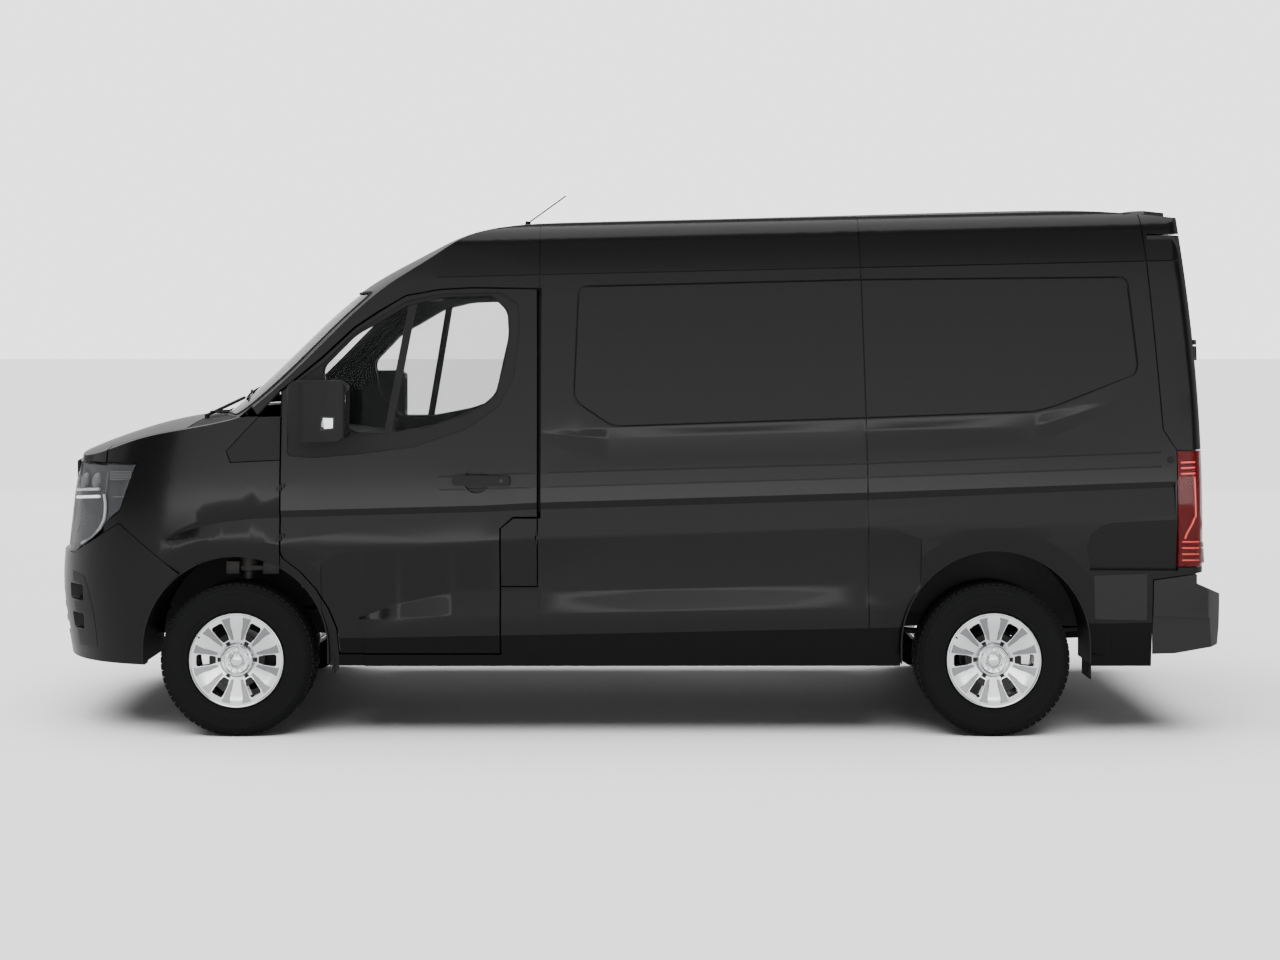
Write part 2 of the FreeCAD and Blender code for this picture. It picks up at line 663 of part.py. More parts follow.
def body_panels():
    """Split the hollow body behind the nose into its panels."""
    quarter = front_panels()
    outer = rear_envelope(0, 0).cut([both(tail_corner())] + [both(tool) for tool in side_relief()])
    inner = rear_envelope(WALL, ROOF_WALL)
    arches = [both(arch(REAR_ARCH, y0=REAR_WELL_Y)), both(arch(FRONT_ARCH, y0=FRONT_WELL_Y))]
    shell = outer.cut([inner, box(-FAR, FAR, -FAR, FAR, 0, SKIN_BOTTOM)] + arches)

    above = side_prism(gutter_outline(), -FAR, FAR)
    screen = screen_prism(0)
    tail_open = rear_opening(SHUT_GAP)
    lip, lens = roof_lip()
    save("roof_panel", fused([shell.common(above).cut([screen, tail_open])] + lip))
    glass = crown_loft(6).cut(crown_loft(6 + GLASS_WALL))
    save("windscreen", glass.common(screen_prism(SEAT_GAP)))

    below = shell.cut(above)
    cowl = below.common(cowl_space(0))
    save("cowl", Part.makeCompound([cowl, quarter, mirrored(quarter)] + wipers()))

    left = below.common(box(-FAR, FAR, 300, FAR, 0, FAR))
    behind = box(-FAR, DOOR_FRONT_X + SHUT_GAP - 4, 300, FAR, 0, FAR)
    tip = left.common(side_prism(pillar_tip_outline(0))).cut(screen)
    side = left.common(behind).fuse(tip)
    pockets = [pin(z - 40, z + 39, PIN_RADIUS + SWING_GAP) for z in HINGE_HEIGHTS]
    side = side.cut([side_prism(door_outline(SHUT_GAP)), tail_open, tail_corner_cut(), bumper_corner(), screen] + pockets)
    save("fuel_flap", fuel_flap(left))
    hinges = [hinge_half(z, z + 40, z + 64, REAR_HINGE_Y, REAR_HINGE_Y + LAMP_GAP_Y) for z in HINGE_HEIGHTS]
    side = fused([side] + hinges)
    save("body_side_left", side.cut(fuel_hole()).fuse(flap_barrel(0)))
    save("sliding_door", mirrored(side.common(side_prism(slide_outline(0)))))
    save("body_side_right", mirrored(side.cut([side_prism(slide_outline(SHUT_GAP)), slide_rail()])))
    front_doors(left)
    rear_end(shell, lens)


def roof_lip():
    """Raised lip across the roof's rear edge, with the high stop lamp let in; returns both."""
    bar = box(-2640, -2545, -640, 640, 2400, 2600).common(crown_loft(-ROOF_LIP))
    half = STOP_LAMP_HALF
    pocket = box(-2700, -2600, -half, half, 2400, 2600)
    sides = bar.cut([crown_loft(10), pocket])
    lens = bar.cut(crown_loft(-SEAT_GAP)).common(box(-2700, -2602, 2 - half, half - 2, 2400, 2600))
    return [sides], lens


def slide_rail():
    """Long slot of the load door's middle rail."""
    line = [(SLIDE_REAR_X - 30, 1262), (-2420, 1292)]
    return strip(line, 36).cut(body_prism(24))


def bumper_corner():
    """Space of the rear bumper's corner on the body side."""
    (x0, z0), (x1, z1) = BUMPER_TOP
    gap = SHUT_GAP / 2
    slope = (z1 - z0) / (x1 - x0)
    return side_prism([(x0 + gap, 0), (x0 + gap, z0 + gap), (-3200, z0 + gap + slope * (-3200 - x0)), (-3200, 0)],
                      300, FAR)


def fuel_hole():
    return box(DOOR_REAR_X + 4, FUEL_FRONT_X, 940, FAR, FUEL_BOTTOM_Z - 6, FUEL_TOP_Z - 4)


def flap_barrel(step):
    """Barrel of the fuel flap's hinge; the middle one stands on the body side, its neighbours on the flap."""
    x = DOOR_REAR_X + 10
    middle = FLAP_HINGE_Z + step * (20 + SEAT_GAP)
    barrel = cylinder(FLAP_BARREL, V(x, FLAP_HINGE_Y, middle - 10), V(x, FLAP_HINGE_Y, middle + 10))
    if step:
        return barrel
    return barrel.fuse(box(x - 30, x, FLAP_HINGE_Y - 6, FLAP_HINGE_Y + 3, middle - 10, middle + 10))


def fuel_flap(left):
    """Flap over the filler, hinged at its rear edge."""
    plate = left.cut(body_prism(FLAP_WALL))
    x = DOOR_REAR_X + 10
    plate = plate.common(box(x, FUEL_FRONT_X - 6, 800, FAR, FUEL_BOTTOM_Z, FUEL_TOP_Z - 10))
    reach = 10 + SEAT_GAP
    notch = box(x - 5, x + 8, 900, FAR, FLAP_HINGE_Z - reach, FLAP_HINGE_Z + reach)
    plate = plate.cut([side_prism(door_outline(SHUT_GAP)), notch])
    return fused([plate, flap_barrel(-1), flap_barrel(1)])


def slide_outline(grow):
    g = grow
    return [(SLIDE_FRONT_X + g, DOOR_BOTTOM - g), (SLIDE_FRONT_X + g, SLIDE_TOP_Z + g),
            (SLIDE_REAR_X - g, SLIDE_TOP_Z + g + 34), (SLIDE_REAR_X - g, DOOR_BOTTOM - g)]


def bumper_details(bumper):
    """Lower intake and the stepped air slots in the corners."""
    intake = front_prism([(-620, 430), (620, 430), (560, 640), (-560, 640)], 2300, 3000, 30)
    bars = [box(2300, 3000, -700, 700, z, z + 16) for z in (490, 560)]
    for bar in bars:
        intake = intake.cut(bar)
    bumper = bumper.cut(intake)
    slots = [front_prism([(700, z), (860, z), (850, z + 76), (700, z + 76)], 2620, 3000, 12) for z in (480, 620)]
    return bumper.cut([both(s) for s in slots])


def grille(outer):
    """Frame and level bars between the lamps, open between them."""
    high = BONNET_FRONT_Z - SHUT_GAP
    half = LAMP_INNER_Y - 6
    slab = outer.cut(nose_loft(42)).common(box(2400, FAR, -half, half, GRILLE_LOW, high))
    pitch = (high - GRILLE_LOW - 24) / GRILLE_BARS
    for i in range(GRILLE_BARS):
        low = GRILLE_LOW + 24 + i * pitch
        slab = slab.cut(box(2300, FAR, 24 - half, half - 24, low, low + pitch - GRILLE_BAR))
    return slab


def wipers():
    """Two wiper arms parked low on the glass."""
    out = []
    for y0, y1 in ((560, -60), (-80, -700)):
        pivot = V(2074, y0, 1504)
        tip = V(2020 - 90 * abs(y1) / 900, y1, 1570)
        arm = cylinder(8, pivot, tip)
        post = cylinder(12, V(pivot.x, pivot.y, 1465), V(pivot.x, pivot.y, 1509))
        out.append(fused([arm, post]))
    return out


def tail_corner_cut():
    """Pocket of the tail lamp in the corner pillar."""
    pocket = side_prism([(-2608, 803), (-2608, 1359), (-3000, 1362), (-3000, 803)], 700, FAR)
    return pocket.cut(tail_prism(PILLAR_LAMP + SEAT_GAP))


def rear_opening(grow):
    """Opening of the rear doors, narrower between the bumper's corners."""
    half = REAR_DOOR_HALF + grow
    low = REAR_STEP_HALF + grow
    upper = box(-3000, -2500, -half, half, REAR_DOOR_LOW - grow, REAR_DOOR_HIGH + grow)
    return upper.fuse(box(-3000, -2500, -low, low, 0, REAR_DOOR_LOW))


def hinge_point(z):
    x0, z0 = REAR_HINGE_LOW
    x1, z1 = REAR_HINGE_HIGH
    return x0 + (x1 - x0) * (z - z0) / (z1 - z0)


def pin(low, high, radius):
    """Cylinder on the leaning axis of the rear doors, between two heights."""
    return cylinder(radius, V(hinge_point(low), REAR_HINGE_Y, low), V(hinge_point(high), REAR_HINGE_Y, high))


def hinge_half(z, low, high, y0, y1):
    """Knuckle of a rear hinge on its pin with the leaf that carries it."""
    x = hinge_point(z)
    return pin(low, high, PIN_RADIUS).fuse(box(x - 6, x + 75, y0, y1, low + 4, high - 4))


def rear_end(shell, stop_lens):
    """Rear doors, lamps and bumper."""
    lamp = shell.common(side_prism([(-2612, 808), (-2612, 1354), (-3000, 1357), (-3000, 808)], 874, FAR))
    lamp = lamp.cut(tail_prism(PILLAR_LAMP))
    save("tail_lamps", Part.makeCompound([lamp, mirrored(lamp), stop_lens]))
    leaf = shell.common(box(-3000, -2500, 4, REAR_DOOR_HALF, REAR_DOOR_LOW, REAR_DOOR_HIGH))
    step = shell.common(box(-3000, -2500, 4, REAR_STEP_HALF, REAR_STEP_Z, REAR_DOOR_LOW + 10))
    halves = [hinge_half(z, z - 34, z + 34, REAR_HINGE_Y - 90, REAR_HINGE_Y - 4) for z in HINGE_HEIGHTS]
    upper = front_prism([(100, 1480), (790, 1480), (770, 2250), (100, 2250)], -3000, -2500, 60)
    lower = front_prism([(100, 1020), (790, 1020), (790, 1400), (100, 1400)], -3000, -2500, 60)
    leaf = fused([leaf, step] + halves).cut([panel.cut(tail_prism(6)) for panel in (upper, lower)])
    save("rear_door_left", leaf)
    save("rear_door_right", mirrored(leaf))
    save("rear_bumper", rear_bumper())


def rear_bumper():
    """Bumper with raised corners beside the step, and a plain dark recess low in each side."""
    bar = side_prism(BUMPER_TOP + [(-2702, 727), (-2842.5, 666), (-2832, 520), (-2820, 430), (-2499, 372)],
                     -1014, 1014)
    plan = plan_prism([(-2499, 1014), (-2750, 1004), (-2842.5, 900), (-2842.5, -900), (-2750, -1004), (-2499, -1014)],
                      300, 800, [0, 60, 60, 60, 60, 0])
    bar = bar.common(plan).common(body_prism(-BUMPER_EDGE))
    wing = SILL_HALF + SWING_GAP
    bar = bar.cut(box(-2742, -2400, -wing, wing, 300, 800))
    half = REAR_STEP_HALF + SHUT_GAP
    bar = bar.cut(box(-3000, -2500, -half, half, REAR_STEP_Z - SHUT_GAP, 900))
    lower = side_prism([(-2400, 575), (-2900, 560), (-2900, 300), (-2400, 300)], 900, FAR).cut(body_prism(4))
    lamps = [box(-2842.5, -2836, y - 60, y + 60, 500, 540) for y in (-700, 700)]
    swing = box(-3000, hinge_point(500), REAR_STEP_HALF, REAR_HINGE_Y, REAR_STEP_Z - SHUT_GAP, 900)
    swing = swing.cut(cylinder(REAR_STEP_SWING, V(hinge_point(500), REAR_HINGE_Y, 500),
                               V(hinge_point(950), REAR_HINGE_Y, 950)))
    return bar.cut([both(lower), both(swing)] + lamps)


def front_doors(left):
    """Door shell with its window, the glass in its dark frame, and the trim on it."""
    swing = Part.makeCylinder(DOOR_FRONT_X - DOOR_REAR_X - 10, FAR, V(DOOR_FRONT_X, DOOR_HINGE_Y, 0))
    panel = left.common(side_prism(door_outline(0)).common(swing))
    sight = side_prism(glass_outline(), radius=40)
    ring = side_prism(frame_outline(), radius=25).cut([sight, body_prism(FRAME_INSET + FRAME_WALL)])
    cup = Part.makeCylinder(HANDLE_CUP, FAR, V(HANDLE_X, 978, HANDLE_Z), V(0, 1, 0))
    panel = fused([panel.cut([ring, sight, cup])] + [door_barrel(z, -1) for z in DOOR_HINGES])
    frame = ring.common(body_prism(FRAME_INSET)).common(side_prism(door_outline(-SHUT_GAP)))
    pane = sight.common(body_prism(GLASS_INSET)).cut(body_prism(GLASS_INSET + GLASS_WALL))
    divider = side_prism([(1152, 1400), (1114, 1400), (990, 2090), (1028, 2090)]).common(body_prism(FRAME_INSET + 2))
    divider = divider.common(side_prism(frame_outline(), radius=25))
    frame = fused([frame, divider.cut(body_prism(GLASS_INSET))])
    trim = Part.makeCompound([frame, mirror(), handle()])
    for name, shape in (("door", panel), ("door_glass", pane), ("door_trim", trim)):
        save(name + "_left", shape)
        save(name + "_right", mirrored(shape))


def mirror():
    """Tall mirror housing, swept back at its outer edge, on two arms from the door's front corner."""
    side = side_prism([(1288, 1432), (1330, 1412), (1530, 1404), (1572, 1440), (1582, 1500), (1572, 1664), (1540, 1690),
                       (1330, 1692), (1290, 1670)], 1000, 1300, 24)
    plan = plan_prism([(1290, 1085), (1290, 1235), (1370, 1235), (1500, 1216), (1572, 1160), (1582, 1085)], 1300, 1800,
                      [14, 20, 60, 70, 40, 14])
    glass = side_prism([(1200, 1455), (1302, 1450), (1302, 1650), (1200, 1645)], 1102, 1222, 20)
    arms = [box(1500, 1540, 900, 1110, z, z + 34) for z in (1450, 1590)]
    head = fused([side.common(plan).cut(glass)] + arms)
    return head.cut(body_prism(FRAME_INSET - SEAT_GAP))


def handle():
    """Pull bar that bridges its round cup."""
    bar = side_prism([(544, 1188), (817, 1194), (817, 1242), (544, 1238)], 985, 1034, 18)
    grip = side_prism([(520, 1100), (HANDLE_X - 44, 1100), (HANDLE_X - 44, 1300), (520, 1300)], 900, FAR)
    back = side_prism([(HANDLE_X + 44, 1100), (840, 1100), (840, 1300), (HANDLE_X + 44, 1300)], 900, FAR)
    feet = bar.common(Part.makeCompound([grip, back])).cut(body_prism(-SEAT_GAP))
    bridge = bar.cut(body_prism(-9))
    return fused([bridge, feet])


def ring(profile, sides):
    """Solid ring about the Y axis with flat facets; the profile is a list of (y, radius)."""
    corners = []
    for i in range(sides):
        angle = 2 * math.pi * i / sides
        corners.append([V(r * math.sin(angle), y, -r * math.cos(angle)) for y, r in profile])
    faces = []
    for i, here in enumerate(corners):
        there = corners[(i + 1) % sides]
        for k in range(len(profile)):
            j = (k + 1) % len(profile)
            faces.append(Part.Face(Part.makePolygon([here[k], here[j], there[j], there[k], here[k]])))
    solid = Part.Solid(Part.Shell(faces))
    return solid if solid.Volume > 0 else solid.reversed()


def tyre_shape():
    """Tyre with flat tread, rounded shoulders and side walls that bulge over the rim."""
    half, r, s = TYRE_WIDTH / 2, TYRE_RADIUS, TYRE_SHOULDER
    bead = RIM_RADIUS + SEAT_GAP
    outer = [(half - 12, bead), (half, bead + 46), (half - 4, r - s), (half - 16, r - 9), (half - 40, r)]
    return ring(outer + [(-y, radius) for y, radius in reversed(outer)], TYRE_SIDES)


def wheel(name, x, side):
    """Tyre and the covered steel wheel, turned about the axle."""
    tyre = tyre_shape()
    rim = rim_shape()
    place = V(x, side * WHEEL_Y, TYRE_RADIUS)
    if side < 0:
        rim = mirrored(rim)
    tyre.translate(place)
    rim.translate(place)
    save("tyre_" + name, tyre)
    save("rim_" + name, rim)


def rim_shape():
    """Barrel, disc and the cover with six broad petals between six slots."""
    half = TYRE_WIDTH / 2
    b = RIM_RADIUS - SEAT_GAP
    face = WHEEL_FACE_Y
    outline = [V(0, 12 - half, b), V(0, 12 - half, b - 14), V(0, face - 40, b - 20), V(0, face - 30, 84),
               V(0, face - 30, HUB_BORE),
               V(0, face + 10, HUB_BORE), V(0, face + 14, 74), V(0, face - 4, 84), V(0, face + COVER_DISH - 6, b - 40),
               V(0, half - 6, b - 4), V(0, half - 12, b)]
    wire = Part.makePolygon(outline + [outline[0]])
    body = Part.Face(wire).revolve(V(0, 0, 0), V(0, 1, 0), 360)
    cap = Part.makeCylinder(HUB_BORE, 26, V(0, face - 20, 0), V(0, 1, 0))
    slots = []
    for i in range(PETALS):
        slot = side_prism([(116, -22), (190, -30), (190, 30), (116, 22)], face - 60, half + 20, 12)
        slot.rotate(V(0, 0, 0), V(0, 1, 0), 360 / PETALS * i)
        slots.append(slot)
    return body.cut(slots).fuse(cap).removeSplitter()


def king_point(z):
    return V(FRONT_AXLE_X, KING_Y - KING_LEAN * (z - KING_Z), z)


def knuckle(name, side):
    """Upright with stub axle, brake disc and the strut that turns with it."""
    strut = cylinder(STRUT_RADIUS, king_point(KING_Z + 90), king_point(STRUT_TOP))
    spring = cylinder(58, king_point(745), king_point(STRUT_TOP - 14))
    upright = cylinder(38, king_point(KING_Z), king_point(KING_Z + 230))
    stub = Part.makeCylinder(33, 150, V(FRONT_AXLE_X, 745, TYRE_RADIUS), V(0, 1, 0))
    disc = Part.makeCylinder(BRAKE_DISC_RADIUS, 24, V(FRONT_AXLE_X, 800, TYRE_RADIUS), V(0, 1, 0))
    seat = WHEEL_Y + WHEEL_FACE_Y - 30 - SEAT_GAP
    flange = Part.makeCylinder(70, seat - 824, V(FRONT_AXLE_X, 824, TYRE_RADIUS), V(0, 1, 0))
    body = fused([strut, spring, upright, stub, disc, flange])
    save("knuckle_" + name, body if side > 0 else mirrored(body))


def front_structure():
    """Rails, subframe, strut towers, lower arms, and the frame that carries radiator, lamps and bumper."""
    inner, outer = RAIL_INNER_Y, RAIL_OUTER_Y
    rail = box(1300, 2660, inner, outer, 420, 540)
    seat = cylinder(62, king_point(700), king_point(STRUT_TOP + SEAT_GAP))
    tower = box(1700, 1980, outer, 760, STRUT_TOP - 10, STRUT_TOP + 30).cut(seat)
    wall = box(FIREWALL_X + 41, 2260, outer - 20, outer, 500, STRUT_TOP + 30)
    arm = plan_prism([(1700, 430), (1980, 430), (1880, KING_Y + 10), (1800, KING_Y + 10)], 190, 227)
    hanger = box(1690, 1990, 420, outer, 190, 440)
    half = fused([rail, tower, wall, arm, hanger])
    cross = box(1700, 2120, -430, 430, 340, ENGINE_LOW - SEAT_GAP)
    beam = box(2600, FAR, -720, 720, 440, 520).common(nose_loft(WALL + SEAT_GAP))
    frame = box(2500, 2580, -760, 760, 500, 1240).cut(box(2400, 2700, -470, 470, 560, 1180))
    frame = frame.common(nose_loft(WALL + SEAT_GAP))
    core = box(2520, 2560, -480, 480, 550, 1190)
    stays = [box(2560, FAR, y - 10, y + 10, 870, 1240).common(nose_loft(42 + SEAT_GAP)) for y in (-490, 490)]
    return fused([half, mirrored(half), cross, beam, frame, core] + stays)


def floor_pan():
    """Load floor, cab floor, sills, wheel boxes and frame rails."""
    floor = box(-2660, FIREWALL_X, -SILL_HALF, SILL_HALF, FLOOR_BOTTOM, FLOOR_TOP)
    cab = box(BULKHEAD_X - BULKHEAD_WALL - SEAT_GAP, FIREWALL_X, -FAR, FAR, CAB_FLOOR, FLOOR_TOP + 50)
    sill = box(-1285, 1360, SILL_HALF - SILL_WIDTH, SILL_HALF, SKIN_BOTTOM, FLOOR_TOP)
    rail = box(-2600, 1300 - SEAT_GAP, RAIL_INNER_Y, RAIL_OUTER_Y, RAIL_Z, FLOOR_TOP)
    well = arch(REAR_ARCH, 0, REAR_WELL_Y, SILL_HALF)
    wheel_box = arch(REAR_ARCH, -14, REAR_WELL_Y - 14, SILL_HALF + 20)
    wheel_box = wheel_box.common(box(-FAR, FAR, 0, FAR, FLOOR_TOP - 20, FAR))
    firewall = box(FIREWALL_X, FIREWALL_X + 40, -SILL_HALF, SILL_HALF, FLOOR_BOTTOM, 1330)
    body = fused([floor, sill, mirrored(sill), rail, mirrored(rail), wheel_box, mirrored(wheel_box)])
    body = fused([body.cut(cab), firewall])
    doors = side_prism(door_outline(SHUT_GAP)).cut(body_prism(WALL + SWING_GAP))
    body = body.cut([both(well), both(arch(FRONT_ARCH, -12, FRONT_WELL_Y - 20, FAR)), both(doors)])
    body = body.common(tail_prism(WALL + SEAT_GAP)).cut(box(-FAR, -2742 + WALL + SWING_GAP, -868, 868, 0, FAR))
    ties = [cylinder(TIE_RADIUS, V(x, y, 500), V(x, y, 700)) for x in TIE_X for y in (-TIE_Y, TIE_Y)]
    body = body.cut(ties)
    stay = box(-2742 + SEAT_GAP, -2500, RAIL_INNER_Y, RAIL_OUTER_Y, RAIL_Z, FLOOR_BOTTOM)
    return fused([body, stay, mirrored(stay)])


def rear_axle():
    """Beam, hubs, leaf springs and dampers."""
    x, z = REAR_AXLE_X, TYRE_RADIUS
    reach = 640
    eye = RAIL_Z - SEAT_GAP
    beam = Part.makeCylinder(42, 2 * (WHEEL_Y - 40), V(x, 40 - WHEEL_Y, z), V(0, 1, 0))
    hub = Part.makeCylinder(140, 70, V(x, WHEEL_Y - 60, z), V(0, 1, 0))
    flange = Part.makeCylinder(66, WHEEL_FACE_Y - 30 - 10 - SEAT_GAP, V(x, WHEEL_Y + 10, z), V(0, 1, 0))
    leaf = side_prism([(x - reach, eye - 18), (x - 80, z + 40), (x + 80, z + 40), (x + reach, eye - 18),
                       (x + reach, eye), (x + 80, z + 62), (x - 80, z + 62), (x - reach, eye)],
                      RAIL_INNER_Y + 5, RAIL_OUTER_Y - 5)
    saddle = box(x - 60, x + 60, RAIL_INNER_Y, RAIL_OUTER_Y, z - 20, z + 50)
    damper = cylinder(24, V(x - 30, 380, z + 20), V(x - 120, 380, 530))
    stud = cylinder(10, V(x - 120, 380, 515), V(x - 120, 380, FLOOR_BOTTOM - SEAT_GAP))
    half = [hub, flange, leaf, saddle, damper, stud]
    return fused([beam] + half + [mirrored(s) for s in half])


def arch_liners():
    """Shells lining the four wheel arches; the front ones are open round the strut."""
    strut = cylinder(76, king_point(700), king_point(1000))
    front = arch(FRONT_ARCH, SEAT_GAP, FRONT_WELL_Y + 20, 985)
    front = front.cut([arch(FRONT_ARCH, SEAT_GAP + LINER_WALL, 0, FAR), strut])
    front = front.common(box(-FAR, FAR, 0, FAR, LINER_LOW, FAR))
    rear = arch(REAR_ARCH, SEAT_GAP, REAR_WELL_Y + 2, 990).cut(arch(REAR_ARCH, SEAT_GAP + LINER_WALL, 0, FAR))
    rear = rear.common(box(-FAR, FAR, 0, FAR, LINER_LOW, FAR))
    return Part.makeCompound([front, mirrored(front), rear, mirrored(rear)])


def steering_wheel():
    """Column, spokes and rim of the steering wheel on the left."""
    centre = V(1090, 400, 1297)
    axis = V(-0.9, 0, 0.43)
    column = cylinder(30, V(1340, 400, 1178), centre)
    rim = Part.makeTorus(195, 15, centre, axis)
    spoke = box(-14, 14, -190, 190, -10, 10)
    spoke.Placement = FreeCAD.Placement(centre, FreeCAD.Rotation(V(0, 0, 1), axis))
    return [column, rim, spoke]


def cab():
    """Dashboard, seats and bulkhead."""
    x = FIREWALL_X - SEAT_GAP
    panel = side_prism([(x, 900), (x, 1330 + SEAT_GAP), (1960, 1395), (1960, 1440), (1500, 1385), (1300, 1355),
                        (1255, 1260), (1310, 1100), (1310, 900)], -870, 870)
    plan = [(1200, 870), (1640, 870), (1970, 560)]
    panel = panel.common(plan_prism(plan + [(px, -py) for px, py in reversed(plan)], 800, 1500))
    save("dashboard", fused([panel] + steering_wheel()))
    seats = []
    bases = []
    for y0, y1 in ((180, 660), (-760, -220)):
        seats.append(side_prism([(600, SEAT_Z), (1060, SEAT_Z), (1060, 1080), (600, 1060)], y0, y1, 40))
        seats.append(side_prism([(490, SEAT_Z), (600 - SEAT_GAP, SEAT_Z), (600 - SEAT_GAP, 1090), (530, 1650),
                                 (430, 1650)], y0, y1, 30))
        bases.append(box(520, 1020, y0 + 60, y1 - 60, CAB_FLOOR + SEAT_GAP, SEAT_Z - SEAT_GAP))
    for y in (420, -355, -625):
        low = 1650 + SEAT_GAP
        seats.append(side_prism([(435, low), (525, low), (505, 1830), (425, 1830)], y - 120, y + 120, 25))
    save("cab_seats", Part.makeCompound(seats))
    save("seat_bases", Part.makeCompound(bases))
    wall = box(BULKHEAD_X - BULKHEAD_WALL, BULKHEAD_X, -FAR, FAR, CAB_FLOOR + SEAT_GAP, FAR)
    save("bulkhead", wall.common(rear_envelope(WALL + SEAT_GAP, ROOF_WALL + SEAT_GAP)))


def antenna():
    """Rigid whip on a small foot at the front of the roof."""
    base = cylinder(14, V(524, 0, 2452), V(515, 0, 2494))
    return fused([base, cylinder(3.5, V(518, 0, 2484), V(318, 0, 2628))])


def exhaust():
    """Pipe from the engine to the silencer on its hangers."""
    route = [V(ENGINE_REAR_X - SEAT_GAP, -300, 480), V(1600, -300, 480), V(1480, -300, 370), V(300, -300, 370),
             V(200, -620, 370), V(-1200, -620, 370)]
    tubes = [cylinder(32, a, b) for a, b in zip(route, route[1:])]
    bends = [Part.makeSphere(32, p) for p in route[1:-1]]
    silencer = cylinder(95, V(-200, -620, 370), V(-900, -620, 370))
    hangers = [box(x - 6, x + 6, y - 18, y + 18, 380, FLOOR_BOTTOM - SEAT_GAP) for x, y in ((1100, -300), (-550, -620))]
    return fused(tubes + bends + [silencer] + hangers)


def underside():
    """Exhaust, tank, spare wheel and the engine's plain block."""
    save("exhaust", exhaust())
    save("fuel_tank", box(-600, 500, 100, 420, 300, FLOOR_BOTTOM - SEAT_GAP))
    width = 190
    half = width / 2
    spare = ring([(half, 90), (half - 30, RIM_RADIUS), (half, RIM_RADIUS + 20), (half, TYRE_RADIUS - 30),
                  (half - 30, TYRE_RADIUS), (30 - half, TYRE_RADIUS), (-half, TYRE_RADIUS - 30), (-half, 90)], TYRE_SIDES)
    spare.rotate(V(0, 0, 0), V(1, 0, 0), -90)
    spare.translate(V(-2200, 0, FLOOR_BOTTOM - SEAT_GAP - half))
    save("spare_wheel", spare)
    save("engine_block", box(ENGINE_REAR_X, 2480, -330, 330, ENGINE_LOW, 1120))


def make_all():
    body_panels()
    for name, x, side in (("front_left", FRONT_AXLE_X, 1), ("front_right", FRONT_AXLE_X, -1),
                          ("rear_left", REAR_AXLE_X, 1), ("rear_right", REAR_AXLE_X, -1)):
        wheel(name, x, side)
    knuckle("left", 1)
    knuckle("right", -1)
    save("front_structure", front_structure())
    save("floor_pan", floor_pan())
    save("rear_axle", rear_axle())
    save("arch_liners", arch_liners())
    save("antenna", antenna().cut(crown_loft(-SEAT_GAP)))
    cab()
    underside()


make_all()
os.makedirs("parts", exist_ok=True)
for part_name, part_shape in parts.items():
    part_shape.exportStep("parts/" + part_name + ".step")
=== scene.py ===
"""Panel van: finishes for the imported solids, and the fine pieces that they leave out."""
from __future__ import annotations

import json
import logging
import math
from collections.abc import Iterable, Sequence
from dataclasses import dataclass, field
from enum import Enum
from typing import Any

import bmesh
import bpy
from mathutils import Matrix, Vector
from mathutils.bvhtree import BVHTree

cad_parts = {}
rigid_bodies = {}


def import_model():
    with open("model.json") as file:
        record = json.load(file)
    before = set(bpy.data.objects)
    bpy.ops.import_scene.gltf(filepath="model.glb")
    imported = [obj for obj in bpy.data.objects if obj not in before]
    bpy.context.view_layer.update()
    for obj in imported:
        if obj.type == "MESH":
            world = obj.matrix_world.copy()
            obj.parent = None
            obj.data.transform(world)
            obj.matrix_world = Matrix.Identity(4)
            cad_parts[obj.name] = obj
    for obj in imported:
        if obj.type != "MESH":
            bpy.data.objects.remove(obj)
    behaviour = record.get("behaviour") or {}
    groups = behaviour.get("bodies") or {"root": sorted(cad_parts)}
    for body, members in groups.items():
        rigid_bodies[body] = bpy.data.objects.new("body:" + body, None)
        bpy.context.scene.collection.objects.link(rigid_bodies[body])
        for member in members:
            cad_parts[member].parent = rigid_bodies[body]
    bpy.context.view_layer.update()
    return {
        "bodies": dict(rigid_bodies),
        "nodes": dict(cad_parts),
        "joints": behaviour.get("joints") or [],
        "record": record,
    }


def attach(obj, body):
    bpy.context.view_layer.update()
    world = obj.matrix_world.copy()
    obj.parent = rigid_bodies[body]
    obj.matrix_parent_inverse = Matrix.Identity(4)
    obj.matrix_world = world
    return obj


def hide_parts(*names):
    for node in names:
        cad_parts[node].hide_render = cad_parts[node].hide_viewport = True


LOG = logging.getLogger("panel_van")
Colour = tuple[float, float, float]
Spot = tuple[float, float]
Line = Sequence[Spot]
Point = Sequence[float]
Shape = tuple[list[Vector], list[list[int]]]
Box = tuple[Point, Point, float]

WHEELS: tuple[tuple[str, int, int], ...] = (
    ("front_left", 1, 1),
    ("front_right", 1, -1),
    ("rear_left", -1, 1),
    ("rear_right", -1, -1),
)
SIDES: tuple[tuple[str, int], ...] = (("left", 1), ("right", -1))
SHARP_ANGLE = math.radians(28)
SIDE_EYE = (-0.0695, 10.300, 1.926)
FLANK_Y = 0.800
CLEAR_Y = 1.6
WELD = 2e-5


